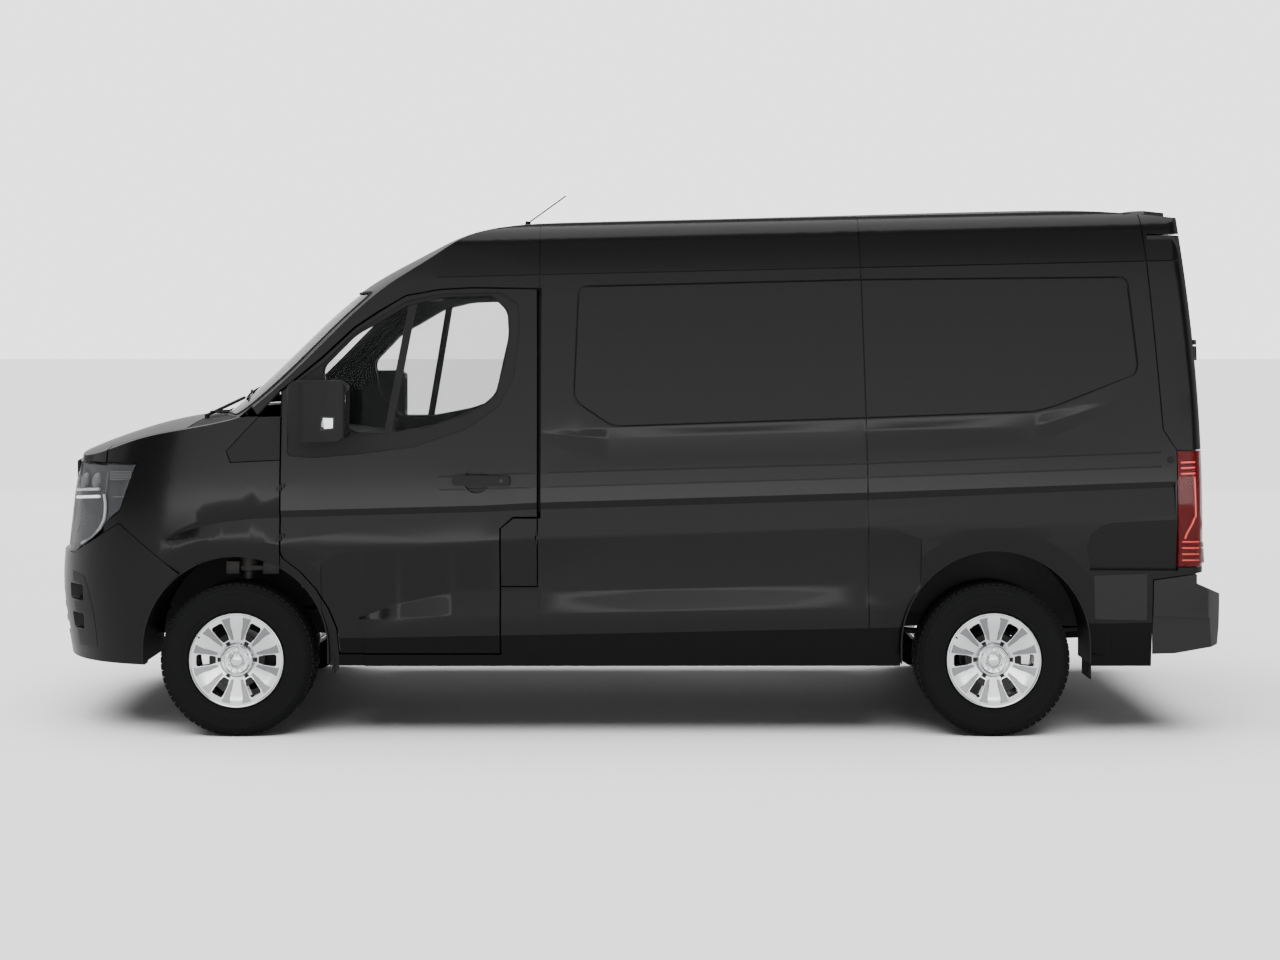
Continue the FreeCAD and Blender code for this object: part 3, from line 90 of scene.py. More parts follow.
class Sock:
    """A shader socket or number with the arithmetic that the finishes use."""

    def __init__(self, tree: "Shader", value: Any) -> None:
        """Keep the tree and the socket or number."""
        self.tree = tree
        self.value = value

    def _math(self, operation: str, other: Any, swap: bool = False) -> "Sock":
        """Join this socket and another value by a Math node.

        Args:
            operation: The Math node's operation.
            other: A socket or number.
            swap: Whether the other value comes first.

        Returns:
            The node's output.
        """
        pair = (other, self) if swap else (self, other)
        return self.tree.node("ShaderNodeMath", {"operation": operation}, {0: pair[0], 1: pair[1]})

    def __add__(self, other: Any) -> "Sock":
        """Sum."""
        return self._math("ADD", other)

    __radd__ = __add__

    def __sub__(self, other: Any) -> "Sock":
        """Difference."""
        return self._math("SUBTRACT", other)

    def __rsub__(self, other: Any) -> "Sock":
        """Difference, the other value first."""
        return self._math("SUBTRACT", other, True)

    def __mul__(self, other: Any) -> "Sock":
        """Product."""
        return self._math("MULTIPLY", other)

    __rmul__ = __mul__

    def __truediv__(self, other: Any) -> "Sock":
        """Quotient."""
        return self._math("DIVIDE", other)

    def below(self, limit: float) -> "Sock":
        """1 where the value is under the limit, else 0."""
        return self._math("LESS_THAN", limit)

    def fold(self, period: float) -> "Sock":
        """Distance to the nearest multiple of the period."""
        return self._math("PINGPONG", period / 2)

    def step(self, low: float, high: float) -> "Sock":
        """Smooth ramp between two values.

        Args:
            low: Where the ramp is 0.
            high: Where it is 1.

        Returns:
            The ramp's value.
        """
        return self.tree.node(
            "ShaderNodeMapRange",
            {"interpolation_type": "SMOOTHSTEP"},
            {"Value": self, "From Min": low, "From Max": high},
        )


class Shader:
    """A material's node tree, with one method that adds any node."""

    def __init__(self, name: str) -> None:
        """Start an empty material.

        Args:
            name: The material's name.
        """
        self.material = bpy.data.materials.new(name)
        self.material.use_nodes = True
        self.tree = self.material.node_tree
        self.tree.nodes.clear()
        self.output = self.tree.nodes.new("ShaderNodeOutputMaterial")

    def node(
        self,
        kind: str,
        settings: dict[str, Any] | None = None,
        values: dict[Any, Any] | None = None,
        output: int | str = 0,
    ) -> Sock:
        """Add a node of any kind.

        Args:
            kind: The node's type.
            settings: Properties set before the sockets.
            values: Numbers, colours or sockets for its inputs.
            output: Which output to return.

        Returns:
            The chosen output.
        """
        made = self.tree.nodes.new(kind)
        for key, value in (settings or {}).items():
            setattr(made, key, value)
        for key, value in (values or {}).items():
            socket = made.inputs[key]
            if isinstance(value, Sock):
                value = value.value
            if isinstance(value, bpy.types.NodeSocket):
                self.tree.links.new(value, socket)
            elif isinstance(value, tuple) and len(value) == 3 and socket.type == "RGBA":
                socket.default_value = (*value, 1.0)
            else:
                socket.default_value = value
        return Sock(self, made.outputs[output])

    def place(self, scale: float = 1.0) -> Sock:
        """Object coordinates, scaled."""
        point = self.node("ShaderNodeTexCoord", output="Object")
        return self.node("ShaderNodeMapping", {}, {"Vector": point, "Scale": (scale,) * 3})

    def noise(self, size: float, detail: float = 2.0, rough: float = 0.5) -> Sock:
        """Noise from 0 to 1.

        Args:
            size: Feature size in metres.
            detail: Octaves.
            rough: How strong the finer octaves are.

        Returns:
            The noise value.
        """
        values = {"Vector": self.place(1 / size), "Scale": 1.0, "Detail": detail, "Roughness": rough}
        return self.node("ShaderNodeTexNoise", {}, values)

    def axis(self, index: int) -> Sock:
        """One coordinate of the object, in metres."""
        point = self.node("ShaderNodeTexCoord", output="Object")
        return self.node("ShaderNodeSeparateXYZ", {}, {"Vector": point}, index)

    def mix(self, factor: Any, first: Any, second: Any) -> Sock:
        """Blend two colours.

        Args:
            factor: Share of the second colour.
            first: Colour at 0.
            second: Colour at 1.

        Returns:
            The blended colour.
        """
        return self.node("ShaderNodeMix", {"data_type": "RGBA"}, {0: factor, 6: first, 7: second}, 2)

    def bump(self, height: Any, distance: float, strength: float = 1.0, after: Any = None) -> Sock:
        """Normal from a height.

        Args:
            height: Height from 0 to 1.
            distance: Metres that a height of 1 stands for.
            strength: How much of it shows.
            after: A normal to add it to.

        Returns:
            The normal.
        """
        values: dict[Any, Any] = {"Height": height, "Distance": distance, "Strength": strength}
        if after is not None:
            values["Normal"] = after
        return self.node("ShaderNodeBump", {}, values)

    def rounded(self, radius: float) -> Sock:
        """Normal that rounds sharp edges off."""
        return self.node("ShaderNodeBevel", {"samples": 4}, {"Radius": radius})

    def surface(self, **values: Any) -> bpy.types.Material:
        """Finish with a Principled shader.

        Args:
            **values: Inputs by name, an underscore for each space.

        Returns:
            The material.
        """
        inputs = {key.replace("_", " "): value for key, value in values.items()}
        shader = self.node("ShaderNodeBsdfPrincipled", {}, inputs)
        self.tree.links.new(shader.value, self.output.inputs["Surface"])
        return self.material


@dataclass(frozen=True)
class Paint:
    """Metallic car paint under clear lacquer, with road dust low down."""

    name: str = "body_paint"
    colour: Colour = (0.0022, 0.0022, 0.0024)
    flake: Colour = (0.0075, 0.0077, 0.0085)

    def build(self) -> bpy.types.Material:
        """Make the finish.

        Returns:
            The material.
        """
        s = Shader(self.name)
        flakes = s.node(
            "ShaderNodeTexVoronoi", {"feature": "F1"}, {"Vector": s.place(), "Scale": 900.0}, "Color"
        )
        grain = s.node("ShaderNodeSeparateXYZ", {}, {"Vector": flakes})
        cloud = s.noise(1.4, 3.0, 0.6)
        dust = (1 - s.axis(2).step(0.30, 0.95)) * s.noise(0.11, 5.0, 0.65)
        base = s.mix(grain.step(0.55, 1.0) * 0.5, self.colour, self.flake)
        base = s.mix(dust * 0.02, base, (0.10, 0.095, 0.085))
        sill = (s.axis(2) + s.axis(0) * 0.0202).below(0.4903) * s.axis(0).below(1.36)
        base = s.mix(sill, base, (0.0012, 0.0012, 0.0012))
        peel = s.bump(s.noise(0.012, 2.0), 0.0004, 0.04, s.rounded(0.0022))
        return s.surface(
            Base_Color=base,
            Metallic=0.10,
            Roughness=0.36 + cloud * 0.05 + dust * 0.15,
            Specular_IOR_Level=0.05,
            Coat_Weight=(0.22 - dust * 0.05) * (1 - sill * 0.7),
            Coat_Roughness=0.17,
            Coat_IOR=1.45,
            Normal=peel,
        )


@dataclass(frozen=True)
class Plastic:
    """Moulded plastic or rubber with a fine grain."""

    name: str
    colour: Colour
    roughness: float = 0.5
    grain: float = 0.0016
    depth: float = 0.00012
    dust: float = 0.25
    edge: float = 0.0015

    def build(self) -> bpy.types.Material:
        """Make the finish.

        Returns:
            The material.
        """
        s = Shader(self.name)
        worn = s.noise(0.16, 4.0, 0.6)
        low = (1 - s.axis(2).step(0.15, 0.9)) * worn
        base = s.mix(low * self.dust, self.colour, (0.055, 0.052, 0.048))
        pits = s.node("ShaderNodeTexVoronoi", {}, {"Vector": s.place(), "Scale": 1 / self.grain}, "Distance")
        normal = s.bump(pits, self.depth, 0.6, s.rounded(self.edge))
        return s.surface(Base_Color=base, Roughness=self.roughness + worn * 0.12, Specular_IOR_Level=0.16,
                         Normal=normal)


@dataclass(frozen=True)
class Metal:
    """Bare or painted metal with a cast or brushed face."""

    name: str
    colour: Colour
    metallic: float = 1.0
    roughness: float = 0.4
    grain: float = 0.004
    depth: float = 0.0002
    rust: float = 0.0

    def build(self) -> bpy.types.Material:
        """Make the finish.

        Returns:
            The material.
        """
        s = Shader(self.name)
        worn = s.noise(0.09, 5.0, 0.62)
        spots = worn.step(0.52, 0.72) * self.rust
        base = s.mix(spots, self.colour, (0.16, 0.075, 0.035))
        normal = s.bump(s.noise(self.grain, 4.0, 0.6), self.depth, 0.7, s.rounded(0.0015))
        return s.surface(
            Base_Color=base,
            Metallic=self.metallic - spots * self.metallic,
            Roughness=self.roughness + worn * 0.15,
            Normal=normal,
        )


@dataclass(frozen=True)
class Tyre:
    """Tyre rubber, a little dusty on tread and shoulder."""

    name: str = "tyre_rubber"
    colour: Colour = (0.0024, 0.0028, 0.0026)

    def build(self) -> bpy.types.Material:
        """Make the finish.

        Returns:
            The material.
        """
        s = Shader(self.name)
        worn = s.noise(0.05, 5.0, 0.6)
        base = s.mix(worn.step(0.35, 0.8) * 0.08, self.colour, (0.020, 0.0195, 0.018))
        normal = s.bump(s.noise(0.0022, 3.0), 0.00025, 0.5)
        return s.surface(Base_Color=base, Roughness=0.70 + worn * 0.16, Specular_IOR_Level=0.10,
                         Normal=normal)


@dataclass(frozen=True)
class Glass:
    """Thin safety glass with a faint film of dust; it closes up where it is seen along its face."""

    name: str
    tint: Colour
    clear: float = 0.75
    closing: float = 0.85

    def build(self) -> bpy.types.Material:
        """Make the finish.

        Returns:
            The material.
        """
        s = Shader(self.name)
        film = s.noise(0.35, 4.0, 0.6)
        edge = s.node("ShaderNodeLayerWeight", {}, {"Blend": 0.35}, "Facing").step(0.55, 0.95)
        alpha = (film * 0.03 + (1 - self.clear)) + edge * (self.clear * self.closing)
        return s.surface(
            Base_Color=self.tint,
            Roughness=0.02 + film * 0.05,
            Specular_IOR_Level=0.14,
            Coat_Weight=0.08,
            Coat_Roughness=0.03,
            Alpha=alpha,
        )


@dataclass(frozen=True)
class Cloth:
    """Woven seat cloth."""

    name: str = "seat_cloth"
    colour: Colour = (0.045, 0.047, 0.052)
    thread: float = 0.0022

    def build(self) -> bpy.types.Material:
        """Make the finish.

        Returns:
            The material.
        """
        s = Shader(self.name)
        across = s.axis(1).fold(self.thread) / (self.thread / 2)
        along = (s.axis(0) + s.axis(2)).fold(self.thread) / (self.thread / 2)
        weave = across * along
        base = s.mix(weave, self.colour, (0.10, 0.104, 0.115))
        base = s.mix(s.noise(0.03, 3.0).step(0.4, 0.8) * 0.2, base, (0.03, 0.031, 0.034))
        normal = s.bump(weave, 0.0004, 0.7)
        return s.surface(Base_Color=base, Roughness=0.86 + weave * 0.1, Sheen_Weight=0.25, Normal=normal)


@dataclass(frozen=True)
class Glow:
    """Lit or white plastic, such as a light guide."""

    name: str
    colour: Colour
    strength: float = 0.0
    roughness: float = 0.2

    def build(self) -> bpy.types.Material:
        """Make the finish.

        Returns:
            The material.
        """
        s = Shader(self.name)
        ribs = s.noise(0.01, 2.0)
        shade = s.mix(ribs * 0.12, self.colour, (0.4, 0.4, 0.4))
        values: dict[str, Any] = {"Base_Color": shade, "Roughness": self.roughness + ribs * 0.05}
        if self.strength:
            values["Emission_Color"] = shade
            values["Emission_Strength"] = self.strength
        return s.surface(**values)


@dataclass(frozen=True)
class Ground:
    """Pale studio floor."""

    name: str = "studio_floor"

    def build(self) -> bpy.types.Material:
        """Make the finish.

        Returns:
            The material.
        """
        s = Shader(self.name)
        patch = s.noise(1.1, 4.0)
        base = s.mix(patch, (0.83, 0.83, 0.835), (0.86, 0.86, 0.86))
        return s.surface(Base_Color=base, Roughness=0.75 + patch * 0.1)


FINISHES: tuple[Any, ...] = (
    Paint(),
    Plastic("moulding_plastic", (0.0105, 0.0106, 0.0110), 0.46, 0.0022, 0.00010, 0.10),
    Plastic("trim_plastic", (0.0035, 0.0035, 0.0037), 0.50, 0.0018, 0.00012, 0.08),
    Plastic("grille_plastic", (0.0025, 0.0025, 0.0028), 0.20, 0.004, 0.00002, 0.03),
    Plastic("cabin_plastic", (0.030, 0.030, 0.032), 0.62, 0.0020, 0.00020, 0.0),
    Plastic("seal_rubber", (0.007, 0.007, 0.007), 0.66, 0.003, 0.00005, 0.10),
    Plastic("underbody", (0.014, 0.014, 0.0145), 0.70, 0.006, 0.00040, 0.35),
    Metal("cast_metal", (0.030, 0.0295, 0.029), 0.7, 0.55, 0.005, 0.0004, 0.15),
    Metal("exhaust_steel", (0.32, 0.30, 0.28), 0.9, 0.42, 0.010, 0.0002, 0.30),
    Metal("wheel_silver", (0.46, 0.465, 0.475), 0.98, 0.16, 0.020, 0.00002, 0.0),
    # Darker copy of wheel_silver: painted shade on the wheel covers' creases and petal flanks.
    Metal("wheel_painted_shade", (0.155, 0.157, 0.162), 0.98, 0.20, 0.020, 0.00002, 0.0),
    Metal("bright_metal", (0.60, 0.60, 0.60), 1.0, 0.12, 0.02, 0.00001, 0.0),
    Metal("disc_steel", (0.40, 0.39, 0.38), 1.0, 0.32, 0.003, 0.00005, 0.12),
    Tyre(),
    Cloth(),
    Glass("window_glass", (0.010, 0.012, 0.0115), 0.86, 0.90),
    Glass("lamp_lens", (0.10, 0.105, 0.11), 0.90, 0.30),
    Glass("tail_lens", (0.120, 0.0015, 0.0022), 0.42, 0.60),
    Glow("white_guide", (0.86, 0.88, 0.90), 0.35),
    Glow("red_guide", (0.62, 0.02, 0.02), 0.25),
    Glow("pale_guide", (0.30, 0.31, 0.32), 0.05),
    Plastic("rib_grey", (0.11, 0.11, 0.115), 0.35, 0.004, 0.00002, 0.0),
    Plastic("lamp_housing", (0.034, 0.035, 0.038), 0.35, 0.004, 0.00002, 0.0),
    Plastic("tail_dark", (0.045, 0.002, 0.003), 0.35, 0.004, 0.00002, 0.0),
    Plastic("belt_webbing", (0.012, 0.012, 0.013), 0.80, 0.0015, 0.00020, 0.0),
    Metal("mirror_silver", (0.82, 0.83, 0.84), 1.0, 0.02, 0.05, 0.000001, 0.0),
    Ground(),
)


def new_tree(name: str, inputs: Sequence[tuple[str, str]]) -> tuple[Any, Any, Any]:
    """Make a Geometry Nodes tree with named inputs.

    Args:
        name: The tree's name.
        inputs: Name and kind of each input after the geometry.

    Returns:
        The tree, its input node and its output node.
    """
    tree = bpy.data.node_groups.new(name, "GeometryNodeTree")
    for label, kind in (("Geometry", "NodeSocketGeometry"), *inputs):
        tree.interface.new_socket(label, in_out="INPUT", socket_type=kind)
    tree.interface.new_socket("Geometry", in_out="OUTPUT", socket_type="NodeSocketGeometry")
    return tree, tree.nodes.new("NodeGroupInput"), tree.nodes.new("NodeGroupOutput")


def feed(modifier: Any, values: dict[str, Any]) -> None:
    """Set the inputs of a Geometry Nodes modifier.

    Args:
        modifier: The modifier, with its tree.
        values: Its inputs by the names of the tree's sockets.
    """
    for item in modifier.node_group.interface.items_tree:
        if item.in_out == "INPUT" and item.name in values:
            modifier[item.identifier] = values[item.name]


class Stock:
    """Finishes by name, and the calls that every sub-assembly shares."""

    def __init__(self, frame: dict[str, Any]) -> None:
        """Build every finish once."""
        self.nodes: dict[str, bpy.types.Object] = frame["nodes"]
        self.finish = {finish.name: finish.build() for finish in FINISHES}
        self.smooth = self.smooth_group()

    @staticmethod
    def smooth_group() -> bpy.types.NodeTree:
        """Geometry nodes that shade smooth except over sharp edges.

        Returns:
            The node group.
        """
        group, entry, leave = new_tree("smooth_faces", [("Angle", "NodeSocketFloat")])
        angle = group.nodes.new("GeometryNodeInputMeshEdgeAngle")
        compare = group.nodes.new("FunctionNodeCompare")
        compare.operation = "LESS_EQUAL"
        faces = group.nodes.new("GeometryNodeSetShadeSmooth")
        faces.domain = "FACE"
        edges = group.nodes.new("GeometryNodeSetShadeSmooth")
        edges.domain = "EDGE"
        for start, stop in (
            (entry.outputs["Geometry"], faces.inputs["Geometry"]),
            (faces.outputs["Geometry"], edges.inputs["Geometry"]),
            (angle.outputs["Unsigned Angle"], compare.inputs["A"]),
            (entry.outputs["Angle"], compare.inputs["B"]),
            (compare.outputs["Result"], edges.inputs["Shade Smooth"]),
            (edges.outputs["Geometry"], leave.inputs["Geometry"]),
        ):
            group.links.new(start, stop)
        return group

    def dress(self, node: str, finish: str) -> None:
        """Give a CAD node its finish, merge its loose triangles and shade it smooth.

        Args:
            node: The node's name.
            finish: The finish's name.
        """
        obj = self.nodes[node]
        obj.data.materials.clear()
        obj.data.materials.append(self.finish[finish])
        weld = obj.modifiers.new("weld", "WELD")
        weld.merge_threshold = WELD
        smooth = obj.modifiers.new("smooth", "NODES")
        smooth.node_group = self.smooth
        feed(smooth, {"Angle": SHARP_ANGLE})

    def piece(self, name: str, points: Iterable[Point], faces: Iterable[Sequence[int]], finish: str,
              smooth: float | None = SHARP_ANGLE) -> bpy.types.Object:
        """Make a mesh object with its place in its mesh.

        Args:
            name: The piece's name.
            points: Corners in metres.
            faces: Corner numbers of each face.
            finish: The finish's name.
            smooth: Edges sharper than this angle stay sharp; None keeps flat faces.

        Returns:
            The object.
        """
        mesh = bpy.data.meshes.new(name)
        mesh.from_pydata([tuple(p) for p in points], [], [tuple(f) for f in faces])
        work = bmesh.new()
        work.from_mesh(mesh)
        bmesh.ops.remove_doubles(work, verts=work.verts, dist=WELD)
        bmesh.ops.recalc_face_normals(work, faces=work.faces)
        work.to_mesh(mesh)
        work.free()
        mesh.materials.append(self.finish[finish])
        if smooth is not None:
            mesh.shade_smooth()
            mesh.set_sharp_from_angle(angle=smooth)
        obj = bpy.data.objects.new(name, mesh)
        bpy.context.scene.collection.objects.link(obj)
        return obj

    def mount(self, obj: bpy.types.Object, body: str, slot: str | None = None) -> bpy.types.Object:
        """Let a piece ride on a body and report it.

        Args:
            obj: The piece.
            body: The body's name.
            slot: The record's material slot; not used.

        Returns:
            The piece.
        """
        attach(obj, body)
        LOG.info("%s rides on %s", obj.name, body)
        return obj


def joined(shapes: Iterable[Shape]) -> Shape:
    """Put several shapes into one.

    Args:
        shapes: Corners and faces of each.

    Returns:
        The corners and faces of all.
    """
    points: list[Vector] = []
    faces: list[list[int]] = []
    for corners, loops in shapes:
        start = len(points)
        points += [Vector(p) for p in corners]
        faces += [[start + i for i in loop] for loop in loops]
    return points, faces


def flipped(shape: Shape) -> Shape:
    """The same shape on the other side of the van.

    Args:
        shape: Corners and faces.

    Returns:
        The mirrored shape.
    """
    points, faces = shape
    return [Vector((p.x, -p.y, p.z)) for p in points], [list(reversed(f)) for f in faces]


def on_side(shape: Shape, sign: int) -> Shape:
    """A shape of the left side, put on the side of that sign."""
    return shape if sign > 0 else flipped(shape)


def met(hits: Iterable[Vector | None]) -> list[Vector]:
    """The points that were met."""
    return [p for p in hits if p is not None]


def dense(line: Line, step: float, closed: bool = False) -> list[Spot]:
    """Put points into a line so that none are further apart than a step.

    Args:
        line: Its corners.
        step: Longest stretch between two points.
        closed: Whether the last corner is joined to the first.

    Returns:
        The points, the last corner among them.
    """
    out: list[Spot] = []
    for here, there in zip(line, [*line[1:], line[0]] if closed else line[1:]):
        a, b = Vector(here), Vector(there)
        parts = max(1, math.ceil((b - a).length / step))
        out += [tuple(a.lerp(b, k / parts)) for k in range(parts)]
    return out if closed else out + [line[-1]]


def slab(top: list[Vector], low: list[Vector]) -> Shape:
    """Close the space between an outline and its copy.

    Args:
        top: Corners of the outline.
        low: Corners of its copy.

    Returns:
        Corners and faces.
    """
    count = len(top)
    faces = [list(range(count)), list(range(2 * count - 1, count - 1, -1))]
    faces += [[i, count + i, count + (i + 1) % count, (i + 1) % count] for i in range(count)]
    return top + low, faces


def block(low: Point, high: Point, bevel: float = 0.0) -> Shape:
    """Box between two corners with rounded edges.

    Args:
        low: Lowest corner.
        high: Highest corner.
        bevel: Width of the rounding.

    Returns:
        Corners and faces.
    """
    work = bmesh.new()
    size = Vector(high) - Vector(low)
    centre = (Vector(high) + Vector(low)) / 2
    bmesh.ops.create_cube(work, size=1.0, matrix=Matrix.Translation(centre) @ Matrix.Diagonal((*size, 1.0)))
    if bevel:
        bmesh.ops.bevel(work, geom=work.edges[:], offset=bevel, segments=2, profile=0.6, affect="EDGES")
    return read(work)


def read(work: bmesh.types.BMesh) -> Shape:
    """Read a working mesh and free it.

    Args:
        work: The working mesh.

    Returns:
        Corners and faces.
    """
    work.verts.index_update()
    points = [v.co.copy() for v in work.verts]
    faces = [[v.index for v in f.verts] for f in work.faces]
    work.free()
    return points, faces


def lathe(profile: Line, centre: Point, side: int = 1, steps: int = 64,
          closed: bool = False) -> Shape:
    """Revolve a profile about an axle along Y.

    Args:
        profile: Offset along the axle outwards, and radius, of each ring.
        centre: Middle of the axle.
        side: 1 where outwards is +Y, -1 where it is -Y.
        steps: Sides of each ring.
        closed: Whether the last ring joins the first.

    Returns:
        Corners and faces.
    """
    c = Vector(centre)
    points: list[Vector] = []
    for offset, radius in profile:
        for i in range(steps):
            turn = 2 * math.pi * i / steps
            points.append(c + Vector((radius * math.cos(turn), side * offset, radius * math.sin(turn))))
    faces: list[list[int]] = []
    count = len(profile)
    for k in range(count if closed else count - 1):
        here, there = k * steps, (k + 1) % count * steps
        for i in range(steps):
            j = (i + 1) % steps
            faces.append([here + i, here + j, there + j, there + i])
    if not closed:
        faces.append(list(range(steps)))
        faces.append(list(range((count - 1) * steps, count * steps)))
    return points, faces


def prism(outline: Line, y0: float, y1: float) -> Shape:
    """Prism across the van from an outline seen from the side.

    Args:
        outline: X and Z of each corner.
        y0: Where it starts.
        y1: Where it ends.

    Returns:
        Corners and faces.
    """
    near, far = ([Vector((x, y, z)) for x, z in outline] for y in (y0, y1))
    return slab(near, far)


def rounded(outline: Line, radius: float, steps: int = 5) -> list[Spot]:
    """Round the corners of a closed outline.

    Args:
        outline: Corners.
        radius: Rounding.
        steps: Points of each arc.

    Returns:
        The rounded outline.
    """
    out: list[Spot] = []
    count = len(outline)
    for i, corner in enumerate(outline):
        p, before, after = Vector(corner), Vector(outline[i - 1]), Vector(outline[(i + 1) % count])
        a, b = before - p, after - p
        cut = min(radius, 0.45 * a.length, 0.45 * b.length)
        start, stop = p + a.normalized() * cut, p + b.normalized() * cut
        for k in range(steps + 1):
            t = k / steps
            q = start * (1 - t) ** 2 + p * 2 * t * (1 - t) + stop * t**2
            out.append((q.x, q.y))
    return out


class Bar(Enum):
    """Section of a strip that follows a path."""

    ROUND = 0
    FLAT = 1


class Bit(Enum):
    """Small form that is repeated on points."""

    BLOCK = 0
    DISC = 1
    DOME = 2


class Patterns:
    """Geometry node trees for strips along paths and for small repeated forms."""

    def __init__(self, stock: Stock) -> None:
        """Build the trees once."""
        self.stock = stock
        self.strips = {bar: self.strip_tree(bar) for bar in Bar}
        self.bits = {bit: self.bit_tree(bit) for bit in Bit}

    @staticmethod
    def close(tree: Any, entry: Any, leave: Any, geometry: Any) -> Any:
        """End a tree in Realize Instances and Set Material.

        Args:
            tree: The tree.
            entry: Its input node.
            leave: Its output node.
            geometry: The socket with the finished geometry.

        Returns:
            The tree.
        """
        realize = tree.nodes.new("GeometryNodeRealizeInstances")
        finish = tree.nodes.new("GeometryNodeSetMaterial")
        tree.links.new(geometry, realize.inputs[0])
        tree.links.new(realize.outputs[0], finish.inputs["Geometry"])
        tree.links.new(entry.outputs["Finish"], finish.inputs["Material"])
        tree.links.new(finish.outputs[0], leave.inputs[0])
        return tree

    def strip_tree(self, bar: Bar) -> Any:
        """Tree that sweeps a section along the edges of a mesh.

        Args:
            bar: Round or flat section.

        Returns:
            The tree.
        """
        sizes = [("Width", "NodeSocketFloat"), ("Height", "NodeSocketFloat"), ("Sides", "NodeSocketInt"),
                 ("Finish", "NodeSocketMaterial")]
        tree, entry, leave = new_tree("strip_" + bar.name.lower(), sizes)
        path = tree.nodes.new("GeometryNodeMeshToCurve")
        sweep = tree.nodes.new("GeometryNodeCurveToMesh")
        sweep.inputs["Fill Caps"].default_value = True
        if bar is Bar.ROUND:
            section = tree.nodes.new("GeometryNodeCurvePrimitiveCircle")
            half = tree.nodes.new("ShaderNodeMath")
            half.operation = "MULTIPLY"
            half.inputs[1].default_value = 0.5
            tree.links.new(entry.outputs["Width"], half.inputs[0])
            tree.links.new(half.outputs[0], section.inputs["Radius"])
            tree.links.new(entry.outputs["Sides"], section.inputs["Resolution"])
        else:
            section = tree.nodes.new("GeometryNodeCurvePrimitiveQuadrilateral")
            tree.links.new(entry.outputs["Width"], section.inputs["Width"])
            tree.links.new(entry.outputs["Height"], section.inputs["Height"])
        tree.links.new(entry.outputs["Geometry"], path.inputs["Mesh"])
        tree.links.new(path.outputs["Curve"], sweep.inputs["Curve"])
        tree.links.new(section.outputs["Curve"], sweep.inputs["Profile Curve"])
        return self.close(tree, entry, leave, sweep.outputs["Mesh"])

    def bit_tree(self, bit: Bit) -> Any:
        """Tree that puts one small form on every point of a mesh, turned by its own angles.

        Args:
            bit: Which form.

        Returns:
            The tree.
        """
        inputs = [("Size", "NodeSocketVector"), ("Finish", "NodeSocketMaterial")]
        tree, entry, leave = new_tree("bits_" + bit.name.lower(), inputs)
        kinds = {
            Bit.BLOCK: "GeometryNodeMeshCube",
            Bit.DISC: "GeometryNodeMeshCylinder",
            Bit.DOME: "GeometryNodeMeshUVSphere",
        }
        form = tree.nodes.new(kinds[bit])
        if bit is Bit.BLOCK:
            form.inputs["Size"].default_value = (1, 1, 1)
        elif bit is Bit.DISC:
            form.inputs["Vertices"].default_value = 16
            form.inputs["Radius"].default_value = 0.5
            form.inputs["Depth"].default_value = 1.0
        else:
            form.inputs["Segments"].default_value = 14
            form.inputs["Rings"].default_value = 8
            form.inputs["Radius"].default_value = 0.5
        turn = tree.nodes.new("GeometryNodeInputNamedAttribute")
        turn.data_type = "FLOAT_VECTOR"
        turn.inputs["Name"].default_value = "turn"
        rotation = tree.nodes.new("FunctionNodeEulerToRotation")
        place = tree.nodes.new("GeometryNodeInstanceOnPoints")
        tree.links.new(turn.outputs["Attribute"], rotation.inputs["Euler"])
        tree.links.new(entry.outputs["Geometry"], place.inputs["Points"])
        tree.links.new(form.outputs["Mesh"], place.inputs["Instance"])
        tree.links.new(rotation.outputs["Rotation"], place.inputs["Rotation"])
        tree.links.new(entry.outputs["Size"], place.inputs["Scale"])
        return self.close(tree, entry, leave, place.outputs["Instances"])

    def grow(self, name: str, base: bpy.types.Mesh, tree: Any, values: dict[str, Any],
             smooth: float) -> bpy.types.Object:
        """Run a tree on a mesh and keep the result as a plain object.

        Args:
            name: The piece's name.
            base: Mesh that the tree reads.
            tree: The tree.
            values: Its inputs by name.
            smooth: Edges sharper than this angle stay sharp.

        Returns:
            The object.
        """
        obj = bpy.data.objects.new(name + "_base", base)
        bpy.context.scene.collection.objects.link(obj)
        modifier = obj.modifiers.new("form", "NODES")
        modifier.node_group = tree
        feed(modifier, values)
        graph = bpy.context.evaluated_depsgraph_get()
        mesh = bpy.data.meshes.new_from_object(obj.evaluated_get(graph))
        mesh.name = name
        bpy.data.objects.remove(obj)
        if not mesh.materials:
            mesh.materials.append(values["Finish"])
        mesh.shade_smooth()
        mesh.set_sharp_from_angle(angle=smooth)
        made = bpy.data.objects.new(name, mesh)
        bpy.context.scene.collection.objects.link(made)
        return made

    def strip(self, name: str, paths: Sequence[Sequence[Point]], width: float, finish: str,
              height: float | None = None, closed: bool = False, sides: int = 8) -> bpy.types.Object:
        """Strips or rods along paths.

        Args:
            name: The piece's name.
            paths: Points of each path.
            width: Width, or diameter where it is round.
            finish: The finish's name.
            height: Thickness of a flat strip; None makes it round.
            closed: Whether each path returns to its start.
            sides: Sides of a round section.

        Returns:
            The object.
        """
        points: list[tuple[float, ...]] = []
        edges: list[tuple[int, int]] = []
        for path in paths:
            if len(path) < 2:
                continue
            start = len(points)
            points += [tuple(p) for p in path]
            edges += [(start + i, start + i + 1) for i in range(len(path) - 1)]
            if closed:
                edges.append((len(points) - 1, start))
        base = bpy.data.meshes.new(name + "_path")
        base.from_pydata(points, edges, [])
        bar = Bar.ROUND if height is None else Bar.FLAT
        values = {"Width": width, "Height": height or width, "Sides": sides,
                  "Finish": self.stock.finish[finish]}
        return self.grow(name, base, self.strips[bar], values, math.radians(50))

